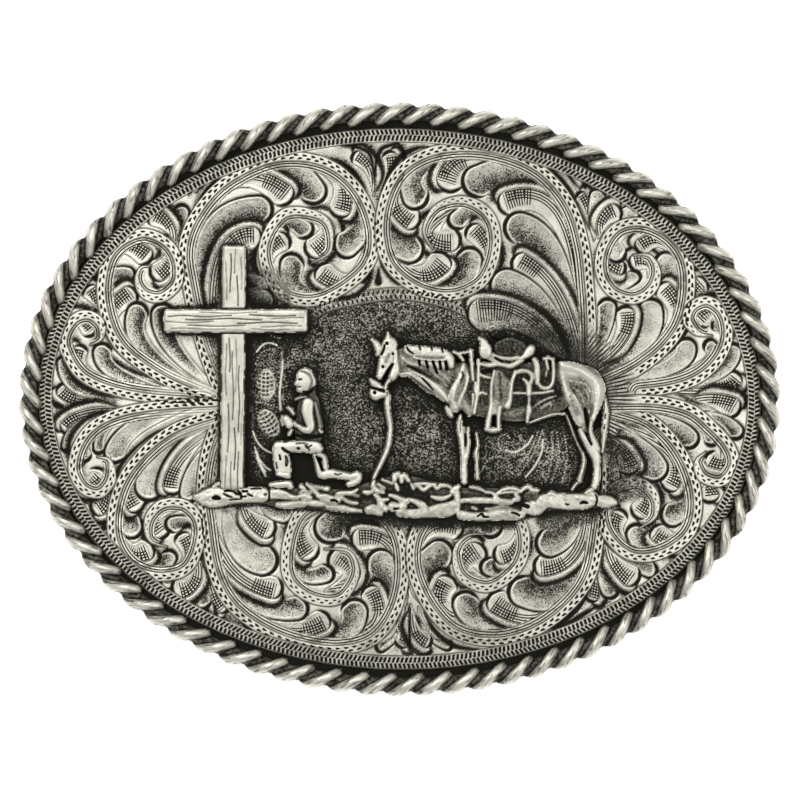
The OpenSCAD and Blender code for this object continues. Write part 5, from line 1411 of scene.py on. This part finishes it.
def build_rope(material, settings):
    """The rope round the face: a ring whose section winds with smooth lobes and dark grooves."""
    stations = ROPE_STATIONS * ROPE_LOBES
    piece, u, v = add_grid("rope", 0, 0, stations, ROPE_SIDES, 1)
    turn = u / stations * math.tau
    section = (2 * v / ROPE_SIDES - 1) * math.pi
    turns, way = way_round(ROPE_A, ROPE_B, 1440)
    angle = np.interp(turn / math.tau * way[-1], way, turns)
    wind = np.where(section > 0, ROPE_WIND_OVER, ROPE_WIND_UNDER) / math.pi
    wind *= section - ROPE_BLUNT * np.sin(2 * section)
    strand = turn / math.tau * ROPE_LOBES - wind
    lobe = np.interp(np.degrees(np.where(section < -math.pi / 2, section + math.tau, section)), *ROPE_LOBE)
    off = np.abs(strand % 1 - 0.5) * 2 / lobe
    round_over = 0.26 * np.minimum(off, 1) ** 2
    r = ROPE_R * (1 - round_over - settings.rope_depth * smooth(0.95, 1.25, off))
    x, y = ROPE_A * np.cos(angle), ROPE_B * np.sin(angle)
    normal = np.column_stack([ROPE_B * np.cos(angle), ROPE_A * np.sin(angle)])
    normal /= np.linalg.norm(normal, axis=1)[:, None]
    x = x + r * np.cos(section) * normal[:, 0]
    y = y + r * np.cos(section) * normal[:, 1]
    base = bent_height(ROPE_A * np.cos(angle), ROPE_CLEAR) + ROPE_FLAT * ROPE_R
    z = base + np.maximum(r * np.sin(section), -ROPE_FLAT * ROPE_R)
    set_places(piece.data, np.column_stack([x, y, z]))
    for name, values in (("lobe", off), ("strand", strand), ("over", section)):
        set_attribute(piece.data, name, values)
    pick_only(piece)
    bpy.ops.object.mode_set(mode="EDIT")
    bpy.ops.mesh.select_all(action="SELECT")
    bpy.ops.mesh.remove_doubles(threshold=1e-6)
    face_outwards(piece)
    bpy.ops.object.mode_set(mode="OBJECT")
    finish_piece(piece, material, "aged_silver", "rope_edge")


class Paint:
    """Lays out a material's nodes, one column after another."""

    def __init__(self, name):
        self.material = bpy.data.materials.new(name)
        self.material.use_nodes = True
        self.tree = self.material.node_tree
        self.tree.nodes.clear()
        self.count = 0
        self.place = self.add("ShaderNodeTexCoord").outputs["Object"]

    def add(self, kind, **settings):
        node = self.tree.nodes.new(kind)
        node.location = (200 * (self.count // 6), -180 * (self.count % 6))
        self.count += 1
        for name, value in settings.items():
            setattr(node, name, value)
        return node

    def join(self, source, socket):
        self.tree.links.new(source, socket)

    def feed(self, socket, value):
        """Sets a socket to a number, or joins it to another node's output."""
        if isinstance(value, (int, float, tuple)):
            socket.default_value = value
        else:
            self.join(value, socket)

    def math(self, operation, *values, clamp=False):
        node = self.add("ShaderNodeMath", operation=operation, use_clamp=clamp)
        for socket, value in zip(node.inputs, values):
            self.feed(socket, value)
        return node.outputs[0]

    def number(self, name):
        """The number that the mesh holds under a name."""
        return self.add("ShaderNodeAttribute", attribute_name=name).outputs["Fac"]

    def noise(self, size, detail=2.0, roughness=0.5, place=None):
        """Noise whose spots are about this wide, in metres or in the units of another place."""
        node = self.add("ShaderNodeTexNoise")
        self.join(place or self.place, node.inputs["Vector"])
        node.inputs["Scale"].default_value = 1 / size
        node.inputs["Detail"].default_value = detail
        node.inputs["Roughness"].default_value = roughness
        return node.outputs["Fac"]

    def ramp(self, value, low, high, start=0.0, end=1.0):
        """Goes from start to end as the value goes from low to high."""
        node = self.add("ShaderNodeMapRange", interpolation_type="SMOOTHSTEP")
        for socket, number in zip(node.inputs, (value, low, high, start, end)):
            self.feed(socket, number)
        return node.outputs[0]

    def blend(self, share, first, second):
        """A colour between two others."""
        node = self.add("ShaderNodeMix", data_type="RGBA")
        self.feed(node.inputs["Factor"], share)
        self.feed(node.inputs["A"], first)
        self.feed(node.inputs["B"], second)
        return node.outputs["Result"]

    def bump(self, height, depth, strength=1.0):
        node = self.add("ShaderNodeBump")
        node.inputs["Strength"].default_value = strength
        node.inputs["Distance"].default_value = depth
        self.join(height, node.inputs["Height"])
        return node.outputs["Normal"]

    def silver(self, dark, colour, normal, settings):
        """Ends in metal that is satin where it is bright, and matte where it is dark."""
        shader = self.add("ShaderNodeBsdfPrincipled")
        self.join(colour, shader.inputs["Base Color"])
        shader.inputs["Metallic"].default_value = 0.95
        self.join(self.ramp(dark, 0.0, 0.9, settings.polish, 0.7), shader.inputs["Roughness"])
        self.join(normal, shader.inputs["Normal"])
        output = self.add("ShaderNodeOutputMaterial")
        self.join(shader.outputs["BSDF"], output.inputs["Surface"])
        return self.material


def silver_colour(paint, dark, settings):
    """Worn silver in the open, going through grey to black as it gets darker."""
    clouds = paint.noise(2.2 * MM, 4.0, 0.6)
    tarnish = paint.math("MULTIPLY_ADD", paint.ramp(clouds, 0.35, 0.7), 0.16, dark, clamp=True)
    half = paint.blend(paint.ramp(tarnish, 0.0, 0.55), tuple(settings.silver), tuple(settings.tarnish))
    return paint.blend(paint.ramp(tarnish, 0.45, 1.0), half, tuple(settings.patina))


def engraved_silver(settings):
    """The face: grooves, hatching and dashes filled with black, stipple in the hollows, and painted shadow
    round the raised group.
    """
    paint = Paint("engraved_silver")
    ink = paint.number("ink")
    fine = paint.noise(0.16 * MM, 1.0, 0.6)
    soft = paint.noise(0.5 * MM, 2.0)
    speckle = paint.math("MULTIPLY_ADD", soft, 0.35, paint.math("MULTIPLY", fine, 0.75))
    shade = paint.number("shade")
    amount = paint.math("MULTIPLY_ADD", shade, 0.6, paint.number("grain"))
    threshold = paint.math("SUBTRACT", 0.84, paint.math("MULTIPLY", amount, 0.5))
    dots = paint.math("MULTIPLY", paint.ramp(paint.math("SUBTRACT", speckle, threshold), -0.07, 0.09), 0.42)
    grey = paint.math("MULTIPLY_ADD", amount, 0.46, paint.ramp(fine, 0.4, 0.7, 0.0, 0.14))

    hatching = []
    for way, where in (("line", "line_on"), ("cross", "cross_on")):
        phase = paint.math("FRACT", paint.math("DIVIDE", paint.number(way), LINE_PITCH))
        off = paint.math("ABSOLUTE", paint.math("SUBTRACT", phase, 0.5))
        stroke = paint.ramp(off, 0.32, 0.14)
        hatching.append(paint.math("MULTIPLY", stroke, paint.number(where)))
    lines = paint.math("MAXIMUM", *hatching)
    dashes = paint.ramp(paint.number("mark"), -0.25, 0.3)
    cuts = paint.math("MULTIPLY", paint.math("MAXIMUM", lines, dashes), 0.95)

    panel = paint.number("panel")
    clouds = paint.math("SUBTRACT", paint.noise(1.6 * MM, 3.0), 0.5)
    flecks = paint.math("MULTIPLY_ADD", clouds, 0.3, paint.noise(0.22 * MM, 2.0, 0.6))
    pits = paint.ramp(flecks, 0.42, 0.65, 0.92, 0.24)
    # The sunk panel's flecked dark, with the painted shadow of the group added to it
    sunk = paint.math("MULTIPLY_ADD", shade, 0.75, paint.math("MULTIPLY", panel, pits), clamp=True)
    stipple = paint.math("ADD", dots, grey, clamp=True)
    dark = paint.math("MAXIMUM", paint.math("MAXIMUM", ink, cuts), stipple)
    dark = paint.math("MAXIMUM", dark, paint.math("MULTIPLY", sunk, panel))
    clots = paint.ramp(flecks, 0.45, 0.72, 1.0, 0.5)
    # Painted shadow: near black round the raised group and between its parts, broken up by the flecks
    group_shadow = paint.math("MULTIPLY", paint.ramp(shade, 0.5, 1.0, 0.0, 0.95), clots)
    dark = paint.math("MAXIMUM", dark, group_shadow)
    raised = paint.math("MULTIPLY", paint.math("MULTIPLY", lines, panel), -0.6)
    dark = paint.math("ADD", dark, raised, clamp=True)

    scratches = paint.noise(0.09 * MM, 1.0)
    depth = paint.math("MULTIPLY", dark, 0.6)
    relief = paint.math("SUBTRACT", paint.math("MULTIPLY", scratches, 0.25), depth)
    normal = paint.bump(relief, 0.06 * MM, 0.6)
    return paint.silver(dark, silver_colour(paint, dark, settings), normal, settings)


def worn_silver(name, settings, roughening):
    """A raised piece: bright where it stands out and is rubbed, dark in its hollows, with any painted
    highlight and shade that its strokes carry.
    """
    paint = Paint(name)
    mottle = paint.noise(0.3 * MM, 3.0, 0.65)
    uneven = paint.math("SUBTRACT", mottle, 0.5)
    spread = paint.ramp(paint.number("dark"), 0.1, 0.5, 0.3 * roughening, 3.0 * roughening)
    dark = paint.math("MULTIPLY_ADD", uneven, spread, paint.number("dark"), clamp=True)
    scratches = paint.noise(0.12 * MM, 2.0)
    normal = paint.bump(paint.math("MULTIPLY_ADD", mottle, 0.6, scratches), 0.05 * MM, 0.5)
    return paint.silver(dark, silver_colour(paint, dark, settings), normal, settings)


def rope_silver(settings):
    """The rope: rubbed lobes with dark streaks along them and painted shade towards their sides, and black
    between them.
    """
    paint = Paint("rope_silver")
    along = paint.add("ShaderNodeCombineXYZ")
    for socket, name, fineness in zip(along.inputs, ("strand", "over"), (9.0, 1.1)):
        paint.join(paint.math("MULTIPLY", paint.number(name), fineness), socket)
    streaks = paint.noise(1.0, 3.0, 0.6, along.outputs["Vector"])
    mottle = paint.noise(0.5 * MM, 4.0, 0.65)
    lobe = paint.math("MULTIPLY_ADD", mottle, 0.14, paint.number("lobe"))
    deep = paint.ramp(lobe, 1.25, 1.45, 1.0, 0.86)
    floor = paint.math("MULTIPLY_ADD", paint.ramp(mottle, 0.35, 0.65), -0.28, deep)
    groove = paint.math("MULTIPLY", paint.ramp(lobe, 0.94, 1.08), floor)
    # Painted shade: each lobe darkens towards its sides as its round form turns away from the light
    edges = paint.ramp(lobe, 0.4, 0.95, 0.0, 0.3)
    streaks_and_shade = paint.math("ADD", paint.ramp(streaks, 0.48, 0.7, 0.0, 0.5), edges)
    dark = paint.math("MAXIMUM", groove, streaks_and_shade)
    uneven = paint.math("MULTIPLY_ADD", mottle, 0.5, streaks)
    normal = paint.bump(uneven, 0.1 * MM, 0.7)
    return paint.silver(dark, silver_colour(paint, dark, settings), normal, settings)


def plain_silver(settings):
    """The hidden back and fittings: satin cast metal with a fine grain."""
    paint = Paint("plain_silver")
    grain = paint.noise(0.25 * MM, 3.0, 0.6)
    clouds = paint.noise(4 * MM, 3.0)
    dark = paint.math("MULTIPLY_ADD", grain, 0.25, paint.math("MULTIPLY", clouds, 0.35), clamp=True)
    normal = paint.bump(grain, 0.06 * MM, 0.5)
    return paint.silver(dark, silver_colour(paint, dark, settings), normal, settings)


class BuckleSettings(bpy.types.PropertyGroup):
    """What can be changed before the buckle is built."""

    grid_step: FloatProperty(
        name="Grid step",
        description="Squares of the chart between two vertices of the face",
        default=1.04,
        min=1.0,
    )
    relief: FloatProperty(
        name="Relief",
        description="Height of the scrollwork over the face",
        default=RELIEF,
        unit="LENGTH",
    )
    rope_depth: FloatProperty(
        name="Rope depth",
        description="Depth of the rope's grooves, as a share of its radius",
        default=0.22,
    )
    polish: FloatProperty(
        name="Polish",
        description="Roughness of the rubbed silver",
        default=0.36,
        min=0,
        max=1,
        subtype="FACTOR",
    )
    silver: FloatVectorProperty(
        name="Silver",
        description="Colour where it is rubbed",
        size=4,
        subtype="COLOR",
        default=(0.655, 0.63, 0.55, 1),
    )
    tarnish: FloatVectorProperty(
        name="Tarnish",
        description="Colour of the grey film",
        size=4,
        subtype="COLOR",
        default=(0.21, 0.203, 0.168, 1),
    )
    patina: FloatVectorProperty(
        name="Patina",
        description="Colour in the hollows",
        size=4,
        subtype="COLOR",
        default=(0.017, 0.0165, 0.0125, 1),
    )
    key_power: FloatProperty(
        name="Key light",
        description="Power of the soft light above",
        default=1.75,
        unit="POWER",
    )
    sky: FloatProperty(
        name="Sky",
        description="Brightness of the room round the buckle",
        default=0.76,
    )


class BUCKLE_OT_face(bpy.types.Operator):
    """Builds the engraved face in four quarters, and the plate under them"""

    bl_idname = "buckle.face"
    bl_label = "Face"

    def execute(self, context):
        settings = context.scene.buckle
        sheet = engraved_sheet(settings)
        material = engraved_silver(settings)
        for name, corner in (
            ("face_top_left", (-SHEET_A, -SHEET_B)),
            ("face_top_right", (SHEET_A, -SHEET_B)),
            ("face_bottom_left", (-SHEET_A, SHEET_B)),
            ("face_bottom_right", (SHEET_A, SHEET_B)),
        ):
            build_face_part(name, sheet, material, corner, settings.grid_step)
        build_face_back(plain_silver(settings))
        return {"FINISHED"}


class BUCKLE_OT_rope(bpy.types.Operator):
    """Builds the rope edge"""

    bl_idname = "buckle.rope"
    bl_label = "Rope edge"

    def execute(self, context):
        settings = context.scene.buckle
        build_rope(rope_silver(settings), settings)
        return {"FINISHED"}


class BUCKLE_OT_cross(bpy.types.Operator):
    """Builds the wooden cross"""

    bl_idname = "buckle.cross"
    bl_label = "Cross"

    def execute(self, context):
        sheet = cross_sheet()
        add_wear(sheet, 3, 0.3)
        material = worn_silver("cross_silver", context.scene.buckle, 0.2)
        build_relief("wooden_cross", sheet, material, 0.6, "cross")
        return {"FINISHED"}


class BUCKLE_OT_ground(bpy.types.Operator):
    """Builds the strip of rough ground"""

    bl_idname = "buckle.ground"
    bl_label = "Ground"

    def execute(self, context):
        sheet = relief_sheet(GROUND_STROKES, 3, 2, GROUND_BODY, 0.5)
        sheet["height"] += 0.05 * (rough(sheet, 6, 1) + rough(sheet, 3, 2)) * (sheet["reach"] > 0)
        add_wear(sheet, 4, 0.5)
        material = worn_silver("ground_silver", context.scene.buckle, 0.3)
        build_relief("rough_ground", sheet, material, 0.6, "ground")
        return {"FINISHED"}


class BUCKLE_OT_rider(bpy.types.Operator):
    """Builds the kneeling rider"""

    bl_idname = "buckle.rider"
    bl_label = "Kneeling rider"

    def execute(self, context):
        sheet = relief_sheet(RIDER_STROKES, 3, 2, RIDER_BODY)
        add_wear(sheet, 4, 0.4)
        material = worn_silver("rider_silver", context.scene.buckle, 0.3)
        build_relief("rider", sheet, material, 0.5, "kneeling_rider")
        return {"FINISHED"}


class BUCKLE_OT_horse(bpy.types.Operator):
    """Builds the saddled horse"""

    bl_idname = "buckle.horse"
    bl_label = "Saddled horse"

    def execute(self, context):
        sheet = relief_sheet(HORSE_STROKES, 3, 4, HORSE_BODY)
        sheet["height"] += 0.02 * (rough(sheet, 5, 3) + rough(sheet, 2, 4)) * (sheet["reach"] > 0)
        add_wear(sheet, 4, 0.4)
        material = worn_silver("horse_silver", context.scene.buckle, 0.4)
        build_relief("horse", sheet, material, 0.52, "saddled_horse")
        return {"FINISHED"}


class BUCKLE_OT_fittings(bpy.types.Operator):
    """Gives the loop and the post behind the face their finish"""

    bl_idname = "buckle.fittings"
    bl_label = "Loop and post"

    def execute(self, context):
        material = bpy.data.materials.get("plain_silver") or plain_silver(context.scene.buckle)
        for node in ("belt_loop", "belt_post"):
            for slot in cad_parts[node].material_slots:
                slot.material = material
        return {"FINISHED"}


class BUCKLE_OT_stage(bpy.types.Operator):
    """Sets the camera, the soft lights and the pale floor"""

    bl_idname = "buckle.stage"
    bl_label = "Stage"

    def execute(self, context):
        settings = context.scene.buckle
        place = (CAMERA_OFF[0] * SQUARE, CAMERA_OFF[1] * SQUARE, FACE_TOP + CAMERA_OVER)
        bpy.ops.object.camera_add(location=place, rotation=(0, 0, TURN))
        camera = context.object
        camera.data.sensor_width = SENSOR
        camera.data.lens = SENSOR * CAMERA_OVER / (VIEW_WIDE * SQUARE)
        camera.data.clip_end = 10
        context.scene.camera = camera
        for name, place, size, share in LIGHTS:
            away = Vector(place).to_track_quat("Z", "Y").to_euler()
            bpy.ops.object.light_add(type="AREA", location=place, rotation=away)
            light = context.object
            light.name = name
            light.data.size = size
            light.data.energy = settings.key_power * share
        world = bpy.data.worlds.new("room")
        world.use_nodes = True
        room = world.node_tree.nodes["Background"].inputs
        room["Color"].default_value = (1, 1, 1, 1)
        room["Strength"].default_value = settings.sky
        context.scene.world = world
        bpy.ops.mesh.primitive_plane_add(size=4)
        floor = context.object
        floor.name = "floor"
        paint = Paint("floor")
        shader = paint.add("ShaderNodeBsdfPrincipled")
        cloud = paint.noise(0.05, 2.0)
        pale = paint.blend(cloud, (0.93, 0.93, 0.93, 1), (0.97, 0.97, 0.97, 1))
        paint.join(pale, shader.inputs["Base Color"])
        shader.inputs["Roughness"].default_value = 0.9
        shader.inputs["Emission Color"].default_value = (1, 1, 1, 1)
        shader.inputs["Emission Strength"].default_value = 0.45
        output = paint.add("ShaderNodeOutputMaterial")
        paint.join(shader.outputs["BSDF"], output.inputs["Surface"])
        floor.data.materials.append(paint.material)
        context.scene.view_settings.view_transform = "Standard"
        return {"FINISHED"}


STEPS = (
    BUCKLE_OT_face, BUCKLE_OT_rope, BUCKLE_OT_cross, BUCKLE_OT_ground, BUCKLE_OT_rider, BUCKLE_OT_horse,
    BUCKLE_OT_fittings, BUCKLE_OT_stage,
)


class BUCKLE_PT_panel(bpy.types.Panel):
    """Lists the settings and the steps"""

    bl_idname = "BUCKLE_PT_panel"
    bl_label = "Western belt buckle"
    bl_space_type = "VIEW_3D"
    bl_region_type = "UI"
    bl_category = "Buckle"

    def draw(self, context):
        for name in BuckleSettings.__annotations__:
            self.layout.prop(context.scene.buckle, name)
        for step in STEPS:
            self.layout.operator(step.bl_idname)


CLASSES = (BuckleSettings, *STEPS, BUCKLE_PT_panel)


def register():
    for item in CLASSES:
        bpy.utils.register_class(item)
    bpy.types.Scene.buckle = PointerProperty(type=BuckleSettings)


def unregister():
    del bpy.types.Scene.buckle
    for item in reversed(CLASSES):
        bpy.utils.unregister_class(item)


def main():
    register()
    bpy.ops.buckle.face()
    bpy.ops.buckle.rope()
    bpy.ops.buckle.cross()
    bpy.ops.buckle.ground()
    bpy.ops.buckle.rider()
    bpy.ops.buckle.horse()
    bpy.ops.buckle.fittings()
    bpy.ops.buckle.stage()


if __name__ == "__main__":
    main()
